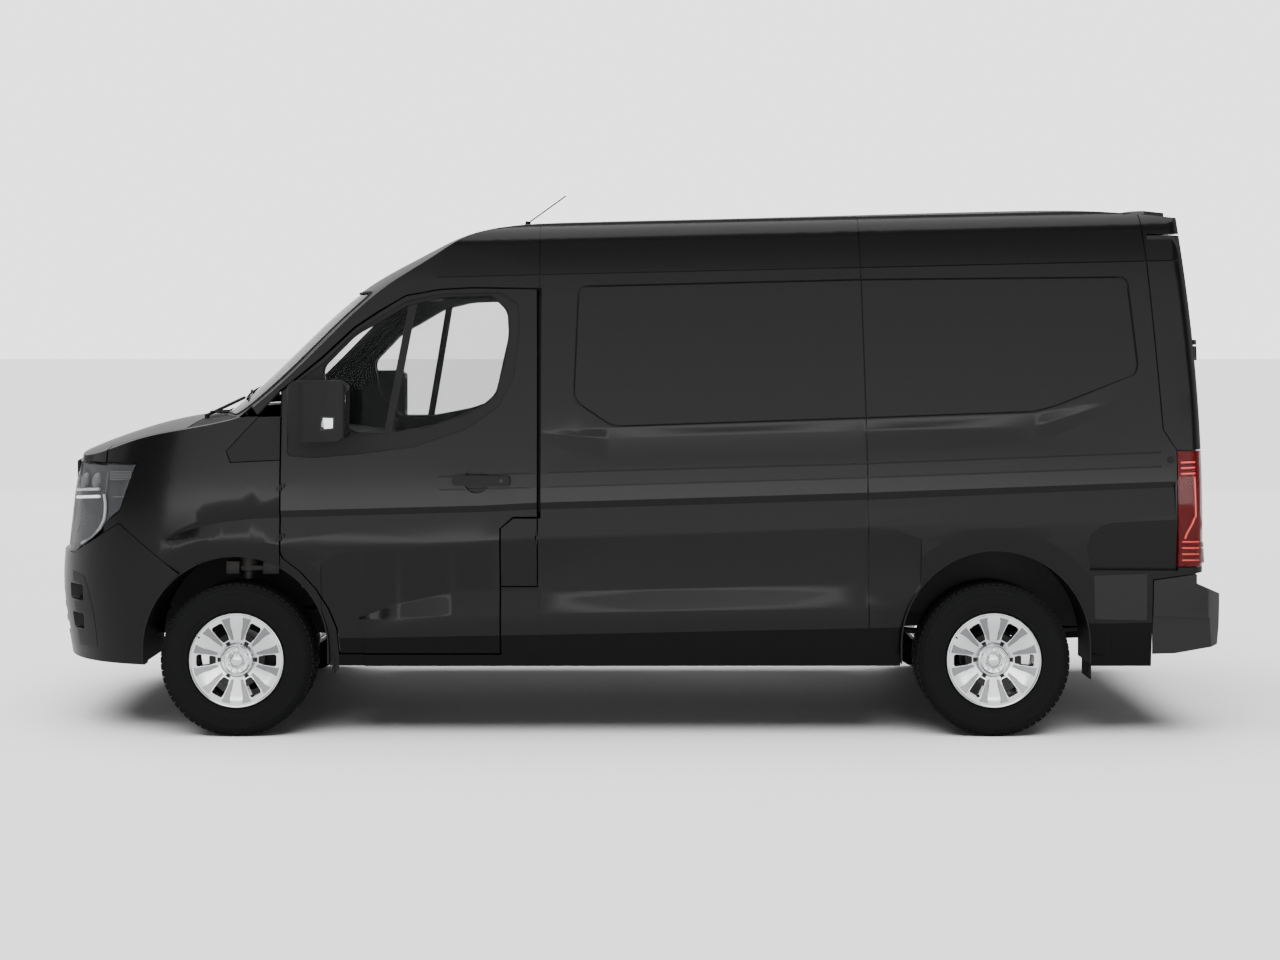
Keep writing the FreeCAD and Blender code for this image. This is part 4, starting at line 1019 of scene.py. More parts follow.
    def repeat(self, name: str, places: Sequence[tuple[Point, Point]], size: Point, finish: str,
               bit: Bit = Bit.BLOCK) -> bpy.types.Object:
        """Many copies of one small form.

        Args:
            name: The piece's name.
            places: Centre and turn, in radians, of each copy.
            size: Size of the form along its own axes.
            finish: The finish's name.
            bit: Which form.

        Returns:
            The object.
        """
        base = bpy.data.meshes.new(name + "_points")
        base.from_pydata([tuple(p) for p, _ in places], [], [])
        turns = base.attributes.new("turn", "FLOAT_VECTOR", "POINT")
        turns.data.foreach_set("vector", [angle for _, turn in places for angle in turn])
        values = {"Size": tuple(size), "Finish": self.stock.finish[finish]}
        return self.grow(name, base, self.bits[bit], values, math.radians(35))


class Skin:
    """Points on the outside of CAD nodes, found along straight lines."""

    def __init__(self, stock: Stock, *names: str) -> None:
        """Gather the faces of the nodes.

        Args:
            stock: Where the nodes are found.
            *names: The nodes' names.
        """
        points: list[Vector] = []
        faces: list[list[int]] = []
        for name in names:
            mesh = stock.nodes[name].data
            start = len(points)
            points += [v.co.copy() for v in mesh.vertices]
            faces += [[start + i for i in p.vertices] for p in mesh.polygons]
        self.tree = BVHTree.FromPolygons(points, faces)

    def along(self, origin: Point, way: Point, lift: float = 0.0) -> Vector | None:
        """First point met from an origin.

        Args:
            origin: Where the line starts.
            way: Its direction.
            lift: How far back towards the origin the result stands.

        Returns:
            The point, or None where nothing is met.
        """
        direction = Vector(way).normalized()
        hit = self.tree.ray_cast(Vector(origin), direction)[0]
        return None if hit is None else hit - direction * lift

    def side(self, x: float, z: float, lift: float = 0.0, sign: int = 1) -> Vector | None:
        """Point on the left or right side at that length and height."""
        return self.along((x, CLEAR_Y * sign, z), (0, -sign, 0), lift)

    def sides(self, line: Iterable[Spot], lift: float = 0.0, sign: int = 1) -> list[Vector]:
        """Points on the side along a line; places with no surface are left out."""
        return met(self.side(x, z, lift, sign) for x, z in line)

    def sight(self, line: Iterable[Spot], lift: float = 0.0, sign: int = 1) -> list[Vector]:
        """Points met by the lines from a place beside the van's middle through (x, z) on its flank.

        Args:
            line: X and Z of each point, read in the plane of the flank.
            lift: How far the results stand off the surface.
            sign: 1 on the left, -1 on the right.

        Returns:
            The points that are met.
        """
        eye = Vector((SIDE_EYE[0], SIDE_EYE[1] * sign, SIDE_EYE[2]))
        return met(self.along(eye, Vector((x, FLANK_Y * sign, z)) - eye, lift) for x, z in line)

    def ruled(self, first: Line, second: Line, columns: int,
              thickness: float, sign: int = 1, seen: bool = False) -> Shape:
        """Thin patch on the flank between two lines with equal numbers of points.

        Args:
            first: X and Z along one edge.
            second: X and Z along the other edge.
            columns: Faces from edge to edge.
            thickness: How far the patch stands out.
            sign: 1 on the left, -1 on the right.
            seen: Whether the lines are read along sight lines, as in sight.

        Returns:
            Corners and faces.
        """
        outer: list[Vector] = []
        rows = 0
        for a, b in zip(first, second):
            spots = [tuple(Vector(a).lerp(Vector(b), k / columns)) for k in range(columns + 1)]
            row = self.sight(spots, thickness, sign) if seen else self.sides(spots, thickness, sign)
            if len(row) == len(spots):
                outer += row
                rows += 1
        inner = [p - Vector((0, (thickness + 0.002) * sign, 0)) for p in outer]
        count, wide = len(outer), columns + 1
        faces: list[list[int]] = []
        for i in range(rows - 1):
            for j in range(columns):
                a = i * wide + j
                faces.append([a, a + 1, a + 1 + wide, a + wide])
                faces.append([count + a, count + a + wide, count + a + 1 + wide, count + a + 1])
        rim = list(range(columns)) + [i * wide + columns for i in range(rows - 1)]
        rim += [(rows - 1) * wide + j for j in range(columns, 0, -1)]
        rim += [i * wide for i in range(rows - 1, 0, -1)]
        faces += [[rim[i], rim[(i + 1) % len(rim)], count + rim[(i + 1) % len(rim)], count + rim[i]]
                  for i in range(len(rim))]
        return outer + inner, faces


@dataclass
class Maker:
    """What every sub-assembly needs to build and mount its pieces."""

    stock: Stock
    patterns: Patterns

    def solid(self, name: str, shapes: Sequence[Shape], finish: str, body: str = "body",
              slot: str = "trim_plastic", smooth: float = SHARP_ANGLE) -> bpy.types.Object:
        """Make one piece from shapes and mount it.

        Args:
            name: The piece's name.
            shapes: Its shapes.
            finish: The finish's name.
            body: The body it rides on.
            slot: The record's material slot.
            smooth: Edges sharper than this angle stay sharp.

        Returns:
            The piece.
        """
        points, faces = joined(shapes)
        return self.stock.mount(self.stock.piece(name, points, faces, finish, smooth), body, slot)

    def strip(self, name: str, paths: Sequence[Sequence[Point]], width: float, finish: str,
              body: str = "body", slot: str = "trim_plastic", height: float | None = None,
              closed: bool = False, sides: int = 8) -> bpy.types.Object:
        """Make strips along paths and mount them; the arguments are those of Patterns.strip and solid."""
        made = self.patterns.strip(name, paths, width, finish, height, closed, sides)
        return self.stock.mount(made, body, slot)

    def repeat(self, name: str, places: Sequence[tuple[Point, Point]], size: Point, finish: str,
               body: str = "body", slot: str = "trim_plastic", bit: Bit = Bit.BLOCK) -> bpy.types.Object:
        """Make repeated small forms and mount them; the arguments are those of Patterns.repeat and solid."""
        return self.stock.mount(self.patterns.repeat(name, places, size, finish, bit), body, slot)


@dataclass
class Shell(Maker):
    """Finishes of the CAD nodes that show as they are, as the names of the nodes under each finish."""

    finishes: dict[str, str] = field(default_factory=lambda: {
        "body_paint": "body_side_left body_side_right sliding_door roof_panel front_fenders front_bumper "
                      "bonnet fuel_flap door_left door_right rear_door_left rear_door_right",
        "grille_plastic": "grille",
        "trim_plastic": "cowl door_trim_left door_trim_right arch_liners antenna fuel_tank",
        "moulding_plastic": "rear_bumper",
        "window_glass": "windscreen door_glass_left door_glass_right",
        "lamp_lens": "headlamps",
        "tail_lens": "tail_lamps",
        "underbody": "floor_pan bulkhead front_structure rear_axle",
        "cabin_plastic": "dashboard seat_bases",
        "cast_metal": "engine_block knuckle_left knuckle_right",
        "exhaust_steel": "exhaust",
        "tyre_rubber": "spare_wheel",
        "wheel_silver": "rim_front_left rim_front_right rim_rear_left rim_rear_right",
    })

    def build(self) -> None:
        """Dress every node that stays."""
        for finish, nodes in self.finishes.items():
            for node in nodes.split():
                self.stock.dress(node, finish)
            LOG.info("%s dresses %s", finish, nodes)


@dataclass
class Wheels(Maker):
    """Tyres with tread, and what stands on the wheel covers."""

    front_x: float = 1.8405
    rear_x: float = -1.7445
    track_y: float = 0.885
    radius: float = 0.362
    rows: tuple[float, ...] = (-0.079, -0.040, 0.0, 0.040, 0.079)
    slant_rows: tuple[int, ...] = (1, 3)
    slant: float = 0.12
    lugs: int = 68
    lug: Point = (0.0090, 0.0335, 0.0280)
    lug_sink: float = 0.0048
    shoulder_ribs: int = 144
    shoulder_rib: Point = (0.0100, 0.0030, 0.0030)
    shoulder_y: float = 0.1055
    shoulder_radius: float = 0.3385
    slots: int = 6
    cone_radius: float = 0.084
    cone_foot: float = 0.0850
    cone_slope: float = 0.2340
    flank_near: tuple[Spot, ...] = ((0.097, 0.200), (0.125, 0.188), (0.165, 0.172), (0.205, 0.158))
    flank_far: tuple[Spot, ...] = ((0.205, 0.345), (0.165, 0.335), (0.125, 0.315), (0.097, 0.290))
    slot_shade_outlines: tuple[tuple[Spot, ...], ...] = (
        ((0.101, -0.016), (0.131, -0.0225), (0.131, 0.0225), (0.101, 0.016)),
        ((0.083, -0.010), (0.094, -0.012), (0.094, 0.012), (0.083, 0.010)),
    )
    rings: tuple[tuple[tuple[Spot, ...], int, bool], ...] = (
        (((0.1055, 0.2235), (0.112, 0.2225), (0.113, 0.219), (0.110, 0.215), (0.106, 0.215)), 96, True),
        (((0.096, 0.074), (0.106, 0.0725), (0.109, 0.066), (0.106, 0.060), (0.099, 0.058),
          (0.096, 0.058)), 72, True),
        (((0.090, 0.030), (0.104, 0.030), (0.109, 0.0255), (0.112, 0.016), (0.113, 0.004)), 48, False),
        (((0.090, 0.042), (0.099, 0.042), (0.101, 0.037), (0.099, 0.033), (0.090, 0.033)), 48, True),
    )
    disc: tuple[Spot, ...] = (
        (0.7985, 0.072), (0.7985, 0.1251), (0.801, 0.1268), (0.823, 0.1268), (0.8255, 0.1251),
        (0.8255, 0.072),
    )
    calliper: Point = (0.075, 0.093, 0.130)
    calliper_y: float = 0.765
    wall: tuple[Spot, ...] = (
        (0.0985, 0.2263), (0.1045, 0.229), (0.109, 0.235), (0.1105, 0.243), (0.109, 0.249), (0.1115, 0.254),
        (0.114, 0.268), (0.1148, 0.285), (0.1138, 0.302), (0.1112, 0.318), (0.112, 0.320), (0.1075, 0.333),
        (0.106, 0.3335), (0.100, 0.347), (0.093, 0.3535), (0.080, 0.3545),
    )

    def centre(self, axle: int, side: int) -> Vector:
        """Middle of a wheel."""
        return Vector((self.front_x if axle > 0 else self.rear_x, side * self.track_y, self.radius))

    def cone(self, reach: float) -> float:
        """Height of the wheel cover's cone over the wheel's middle, at a reach from its axle."""
        return self.cone_foot + (reach - self.cone_radius) * self.cone_slope

    def spoke(self, centre: Vector, offset: float, reach: float, turn: float) -> Vector:
        """Point of a wheel at an offset along its axle, a reach from it and an angle."""
        return centre + Vector((reach * math.cos(turn), offset, reach * math.sin(turn)))

    def tyre(self, name: str, centre: Vector) -> None:
        """Carcass with its side walls, and rows of tread blocks.

        Args:
            name: Which wheel.
            centre: Its middle.
        """
        profile = list(self.wall) + [(-y, r) for y, r in reversed(self.wall)]
        carcass = self.solid("tyre_carcass_" + name, [lathe(profile, centre, 1, 120, True)], "tyre_rubber",
                             "wheel_" + name, "tyre_rubber", math.radians(40))
        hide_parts("tyre_" + name)
        body = "wheel_" + name
        places = []
        for row, y in enumerate(self.rows):
            for i in range(self.lugs):
                turn = 2 * math.pi * (i + 0.5 * (row % 2)) / self.lugs
                slant = self.slant if row in self.slant_rows else 0.0
                places.append((self.spoke(centre, y, self.radius - self.lug_sink, turn), (0.0, -turn, slant)))
        self.repeat("tyre_tread_" + name, places, self.lug, "tyre_rubber", body, "tyre_rubber")
        ribs = []
        for i in range(self.shoulder_ribs):
            turn = 2 * math.pi * i / self.shoulder_ribs
            for y in (-self.shoulder_y, self.shoulder_y):
                ribs.append((self.spoke(centre, y, self.shoulder_radius, turn), (0.0, -turn, 0.0)))
        self.repeat("tyre_shoulder_ribs_" + name, ribs, self.shoulder_rib, "tyre_rubber", body, "tyre_rubber")

    def slot_shade(self, centre: Vector, side: int, turn: float) -> Shape:
        """Dark rounded end that lengthens a slot of the wheel cover towards the hub, with a small notch: a
        black plate as painted shade of the open slot.

        Args:
            centre: The wheel's middle.
            side: 1 on the left.
            turn: The slot's direction.

        Returns:
            Corners and faces.
        """
        shapes: list[Shape] = []
        along = Vector((math.cos(turn), 0, math.sin(turn)))
        across = Vector((-math.sin(turn), 0, math.cos(turn)))
        for outline in self.slot_shade_outlines:
            top = [
                centre + along * r + across * t + Vector((0, side * (self.cone(r) + 0.0016), 0))
                for r, t in rounded(outline, 0.006, 4)
            ]
            shapes.append(slab(top, [p - Vector((0, side * 0.004, 0)) for p in top]))
        return joined(shapes)

    def facet(self, centre: Vector, side: int, middle: float, lean: int) -> Shape:
        """Flank of a petal, between its crease and the slot beside it, as a thin plate of darker metal:
        painted shade of the flank.

        Args:
            centre: The wheel's middle.
            side: 1 on the left.
            middle: The petal's direction.
            lean: Which of its flanks, 1 or -1.

        Returns:
            Corners and faces.
        """
        outline = [(r, middle + lean * turn) for r, turn in self.flank_near + self.flank_far]
        top = [self.spoke(centre, side * (self.cone(r) + 0.0008), r, turn) for r, turn in outline]
        return slab(top, [p - Vector((0, side * 0.0030, 0)) for p in top])

    def cover(self, name: str, centre: Vector, side: int) -> None:
        """Creases, hub ring, bosses and dome of the wheel cover; the creases and petal flanks are in darker
        metal as painted shade.

        Args:
            name: Which wheel.
            centre: Its middle.
            side: 1 on the left.
        """
        body = "wheel_" + name
        slots = [math.radians(360 / self.slots * i) for i in range(self.slots)]
        petals = [turn + math.radians(30) for turn in slots]
        # Thin round ridges along the creases in darker metal: real ridges with painted shade.
        creases = []
        for middle in petals:
            for lean in (-0.155, 0.155):
                inner = self.spoke(centre, side * 0.0870, 0.094, middle + lean * 1.25)
                outer = self.spoke(centre, side * 0.1085, 0.205, middle + lean)
                creases.append([inner.lerp(outer, k / 4) for k in range(5)])
        self.strip("wheel_cover_crease_shade_" + name, creases, 0.0040, "wheel_painted_shade", body, "wheel_silver")
        # Thin darker plates on the petal flanks: painted shade.
        facets = [self.facet(centre, side, middle, lean) for middle in petals for lean in (-1, 1)]
        self.solid("wheel_cover_facet_shade_" + name, facets, "wheel_painted_shade", body, "wheel_silver")
        rings = [lathe(profile, centre, side, steps, closed) for profile, steps, closed in self.rings]
        self.solid("wheel_cover_rings_" + name, rings, "wheel_silver", body, "wheel_silver")
        webs = [(self.spoke(centre, side * 0.0985, 0.050, turn), (0.0, -turn, 0.0)) for turn in slots]
        self.repeat("wheel_cover_webs_" + name, webs, (0.030, 0.010, 0.012), "wheel_silver", body,
                    "wheel_silver")
        bolts = [(self.spoke(centre, side * 0.1005, 0.0505, turn) + Vector((0, side * 0.005, 0)),
                  (math.pi / 2, 0.0, 0.0)) for turn in petals]
        self.repeat("wheel_bolts_" + name, bolts, (0.017, 0.017, 0.012), "bright_metal", body, "wheel_silver",
                    bit=Bit.DISC)
        # Black plates that lengthen the slots: painted shade of the open slots.
        slot_shades = [self.slot_shade(centre, side, turn) for turn in slots]
        self.solid("wheel_cover_slot_shades_" + name, slot_shades, "grille_plastic", body)
        valve = [self.spoke(centre, side * 0.100, 0.212, 0.55), self.spoke(centre, side * 0.118, 0.206, 0.55)]
        self.strip("tyre_valve_" + name, [valve], 0.008, "seal_rubber", body, "tyre_rubber")

    def brake(self, name: str, centre: Vector, side: int) -> None:
        """Disc face and calliper behind a front wheel.

        Args:
            name: left or right.
            centre: The wheel's middle.
            side: 1 on the left.
        """
        body = "steering_" + name
        disc = lathe(self.disc, Vector((centre.x, 0, centre.z)), side, 72, True)
        self.solid("brake_disc_" + name, [disc], "disc_steel", body, "cast_metal")
        inboard = self.calliper_y if side > 0 else -self.calliper_y - self.calliper[1]
        low = Vector((centre.x - 0.165, inboard, centre.z - 0.055))
        calliper = block(low, low + Vector(self.calliper), 0.012)
        self.solid("brake_calliper_" + name, [calliper], "cast_metal", body, "cast_metal")

    def build(self) -> None:
        """Make all four wheels."""
        for name, axle, side in WHEELS:
            centre = self.centre(axle, side)
            self.tyre(name, centre)
            self.cover(name, centre, side)
        for name, side in SIDES:
            self.brake(name, self.centre(1, side), side)


@dataclass
class Lamps(Maker):
    """What stands under the lamp glass, in front and behind."""

    day_bar: tuple[Spot, ...] = (
        (2.647, 1.120), (2.625, 1.120), (2.601, 1.121), (2.577, 1.121), (2.553, 1.122), (2.541, 1.122),
    )
    guide: tuple[Spot, ...] = (
        (2.519, 1.132), (2.513, 1.094), (2.513, 1.052), (2.518, 1.011), (2.539, 0.967), (2.579, 0.927),
        (2.627, 0.895),
    )
    inner_guide: tuple[Spot, ...] = (
        (2.633, 1.101), (2.630, 1.054), (2.632, 1.000), (2.647, 0.947),
    )
    band: tuple[Spot, ...] = (
        (2.317, 1.275), (2.337, 1.222), (2.367, 1.153), (2.398, 1.088), (2.445, 1.004),
    )
    mirror_lamp: tuple[tuple[tuple[Spot, ...], int, float], ...] = (
        (((1.340, 1.468), (1.338, 1.525), (1.408, 1.460), (1.400, 1.528)), 4, 0.0004),
        (((1.347, 1.474), (1.346, 1.519), (1.386, 1.470), (1.392, 1.520)), 4, 0.0009),
        (((1.387, 1.474), (1.393, 1.514), (1.399, 1.480), (1.397, 1.506)), 2, 0.0009),
    )
    tail_foot: tuple[Spot, ...] = (
        (-2.690, 1.040), (-2.680, 1.012), (-2.665, 0.985), (-2.652, 0.962), (-2.645, 0.940),
    )

    def housing(self, name: str, node: str, inset: float, finish: str, slot: str) -> None:
        """Dark housing inside a lamp's glass.

        Args:
            name: The piece's name.
            node: The lamp's node.
            inset: How far it stands inside the glass.
            finish: The finish's name.
            slot: The record's material slot.
        """
        work = bmesh.new()
        work.from_mesh(self.stock.nodes[node].data)
        bmesh.ops.remove_doubles(work, verts=work.verts, dist=WELD)
        work.normal_update()
        moves = [(v, v.normal.copy()) for v in work.verts]
        for vert, normal in moves:
            vert.co -= normal * inset
        self.solid(name, [read(work)], finish, "body", slot)

    def head(self) -> None:
        """Light guides, lens barrels and ribs of the headlamps."""
        skin = Skin(self.stock, "headlamps")
        day: list[list[Vector]] = []
        guides: list[list[Vector]] = []
        fine: list[list[Vector]] = []
        bands: list[Shape] = []
        domes: list[tuple[Point, Point]] = []
        for _, sign in SIDES:
            day.append(skin.sight(self.day_bar, -0.004, sign))
            guides.append(skin.sight(self.guide, -0.005, sign))
            guides.append(skin.sight([(x, z + 0.036) for x, z in self.day_bar], -0.006, sign))
            fine.append(skin.sight(self.inner_guide, -0.005, sign))
            for k in range(6):
                z = 1.243 - 0.0078 * k
                fine.append(skin.sight([(2.490 - 0.034 * i, z) for i in range(5)], -0.005, sign))
            fine.append(skin.sight([(2.478 - 0.028 * i, 1.120) for i in range(5)], -0.005, sign))
            fine.append(skin.sight([(2.500, 1.240), (2.505, 1.200), (2.510, 1.145)], -0.005, sign))
            inner = [(x + 0.016, z) for x, z in self.band]
            outer = [(x - 0.020, z) for x, z in self.band]
            bands.append(skin.ruled(inner, outer, 3, 0.0006, sign, True))
            for x, z in ((2.600, 1.196), (2.545, 1.196)):
                for p in skin.sight([(x, z)], -0.034, sign):
                    domes.append((p, (0, 0, 0)))
        self.strip("headlamp_day_bars", day, 0.015, "white_guide", "body", "lamp_lens")
        self.strip("headlamp_guides", guides, 0.015, "pale_guide", "body", "lamp_lens")
        self.strip("headlamp_fine_guides", fine, 0.0045, "rib_grey", "body", "lamp_lens")
        self.solid("headlamp_bands", bands, "grille_plastic", "body", "lamp_lens")
        self.repeat("headlamp_lenses", domes, (0.060, 0.060, 0.085), "rib_grey", "body", "lamp_lens",
                    bit=Bit.DOME)
        self.housing("headlamp_housings", "headlamps", 0.012, "lamp_housing", "lamp_lens")

    def tail(self) -> None:
        """Red bars behind the tail lamps' glass."""
        skin = Skin(self.stock, "tail_lamps")
        bars: list[list[Vector]] = []
        dim: list[list[Vector]] = []
        for _, sign in SIDES:
            for z in (1.298, 1.272, 1.245):
                across = [(-2.628 - 0.011 * k, z + 0.0005 * k) for k in range(7)]
                bars.append(skin.sides(across, -0.004, sign))
            down = [(-2.692 - 0.0005 * k, 1.232 - 0.024 * k) for k in range(9)]
            bars.append(skin.sides(down, -0.004, sign))
            bars.append(skin.sides(self.tail_foot, -0.004, sign))
            for k in range(4):
                z = 0.925 - 0.029 * k
                dim.append(skin.sides([(-2.632 - 0.013 * i, z) for i in range(7)], -0.004, sign))
        self.strip("tail_lamp_bars", bars, 0.011, "red_guide", "body", "tail_lens")
        self.strip("tail_lamp_low_bars", dim, 0.010, "red_guide", "body", "tail_lens")
        self.housing("tail_lamp_housings", "tail_lamps", 0.009, "tail_dark", "tail_lens")

    def build(self) -> None:
        """Make both pairs, the small lamps of the mirrors, and the bumper's reflectors, which glow as painted
        light.
        """
        self.head()
        self.tail()
        for name, sign in SIDES:
            skin = Skin(self.stock, "door_trim_" + name)
            frame, lens, tip = (skin.ruled(line[:2], line[2:], columns, lift, sign)
                                for line, columns, lift in self.mirror_lamp)
            body = "front_door_" + name
            self.solid("mirror_lamp_frame_" + name, [frame], "grille_plastic", body)
            self.solid("mirror_lamp_" + name, [lens], "white_guide", body, "lamp_lens")
            self.solid("mirror_lamp_tip_" + name, [tip], "pale_guide", body, "lamp_lens")
        # The reflectors take the glowing red guide finish: a painted glow on a part that is no lamp.
        low = [block((-2.841, y - 0.058, 0.502), (-2.8365, y + 0.058, 0.538), 0.0015) for y in (-0.7, 0.7)]
        self.solid("rear_reflectors", low, "red_guide", "body", "tail_lens")


@dataclass
class Glazing(Maker):
    """Seals, wiper blades and mirror glass; mirror_y lies between a door and its mirror's housing."""

    mirror_y: float = 1.080
    mirror_span: Spot = (1.106, 1.218)
    wiper_spans: tuple[Spot, ...] = ((0.600, -0.030), (-0.040, -0.690))
    door_glass: tuple[Spot, ...] = (
        (1.290, 1.437), (1.412, 1.560), (1.440, 1.745), (1.284, 1.905), (1.171, 1.968), (1.040, 2.045),
        (0.880, 2.084), (0.640, 2.092), (0.560, 2.020), (0.552, 1.900), (0.612, 1.620), (0.690, 1.555),
        (0.880, 1.480), (1.100, 1.437),
    )
    ahead_x: float = 3.2
    screen: tuple[Spot, ...] = ((-0.889, 1.518), (0.889, 1.518), (0.814, 2.110), (-0.814, 2.110))

    def border(self, glass: Skin) -> None:
        """Dark printed border inside the edge of the windscreen.

        Args:
            glass: The windscreen's surface.
        """
        points: list[Vector] = []
        faces: list[list[int]] = []
        rows, columns = 26, 60
        index: dict[tuple[int, int], int] = {}
        for i in range(rows + 1):
            t = i / rows
            z = self.screen[0][1] + 0.012 + (self.screen[2][1] - self.screen[0][1] - 0.024) * t
            half = self.screen[1][0] + (self.screen[2][0] - self.screen[1][0]) * t - 0.012
            for j in range(columns + 1):
                u = 2 * j / columns - 1
                inner = abs(u) < 0.86 and 0.10 < t < 0.90
                if inner:
                    continue
                hit = glass.along((self.ahead_x, u * half, z), (-1, 0, 0), -0.0075)
                if hit is not None:
                    index[i, j] = len(points)
                    points.append(hit)
        for i in range(rows):
            for j in range(columns):
                ring = [(i, j), (i, j + 1), (i + 1, j + 1), (i + 1, j)]
                if all(corner in index for corner in ring):
                    faces.append([index[corner] for corner in ring])
        thick = [p + Vector((-0.0015, 0, 0)) for p in points]
        count = len(points)
        edges: dict[tuple[int, int], int] = {}
        for face in faces:
            for a, b in zip(face, face[1:] + face[:1]):
                edges[a, b] = 1
        walls = [[b, a, a + count, b + count] for a, b in edges if (b, a) not in edges]
        backs = [[i + count for i in reversed(face)] for face in faces]
        self.solid("windscreen_border", [(points + thick, faces + backs + walls)], "trim_plastic")

    def door(self, name: str, sign: int) -> None:
        """Seal of a door's window, and the glass of its mirror.

        Args:
            name: left or right.
            sign: 1 on the left.
        """
        body = "front_door_" + name
        skin = Skin(self.stock, "door_trim_" + name, "door_glass_" + name)
        line = dense(rounded(self.door_glass, 0.040), 0.03, True)
        path = met(skin.along((x, self.mirror_y * sign, z), (0, -sign, 0), -0.001) for x, z in line)
        self.strip("window_seal_" + name, [path], 0.009, "seal_rubber", body, closed=True)
        low, high = sorted(y * sign for y in self.mirror_span)
        plate = block((1.3000, low, 1.459), (1.3030, high, 1.641), 0.001)
        bar = block((1.2985, low, 1.508), (1.3012, high, 1.514))
        self.solid("mirror_glass_" + name, [plate], "mirror_silver", body, "window_glass")
        self.solid("mirror_divider_" + name, [bar], "trim_plastic", body)

    def wipers(self, glass: Skin) -> None:
        """Blades on the windscreen, with the clips that hold them.

        Args:
            glass: The windscreen's surface.
        """
        blades = []
        arms = []
        for start, stop in self.wiper_spans:
            spots = [(start + (stop - start) * (k / 12), 1.585 + 0.055 * (k / 12)) for k in range(13)]
            path = met(glass.along((self.ahead_x, y, z), (-1, 0, 0), 0.010) for y, z in spots)
            blades.append(path)
            arms.append([path[6] + Vector((0.006, 0.03, -0.010)), path[6] + Vector((0.008, 0, 0.008)),
                         path[6] + Vector((0.006, -0.03, -0.010))])
        self.strip("wiper_blades", blades, 0.012, "seal_rubber")
        self.strip("wiper_clips", arms, 0.010, "trim_plastic")

    def build(self) -> None:
        """Make the seals, blades and mirrors."""
        for name, sign in SIDES:
            self.door(name, sign)
        skin = Skin(self.stock, "windscreen", "roof_panel", "cowl", "body_side_left", "body_side_right")
        outline = dense(rounded(self.screen, 0.060), 0.05, True)
        path = met(skin.along((self.ahead_x, y, z), (-1, 0, 0), -0.001) for y, z in outline)
        self.strip("windscreen_seal", [path], 0.011, "seal_rubber", closed=True)
        glass = Skin(self.stock, "windscreen")
        self.border(glass)
        self.wipers(glass)
        stem = [(1.145, 0.0, 2.155), (1.130, 0.0, 2.100)]
        self.strip("cab_mirror_stem", [stem], 0.012, "cabin_plastic", "body", "cabin_plastic")
        mirror = block((1.110, -0.120, 2.045), (1.135, 0.120, 2.105), 0.008)
        self.solid("cab_mirror", [mirror], "cabin_plastic", "body", "cabin_plastic")


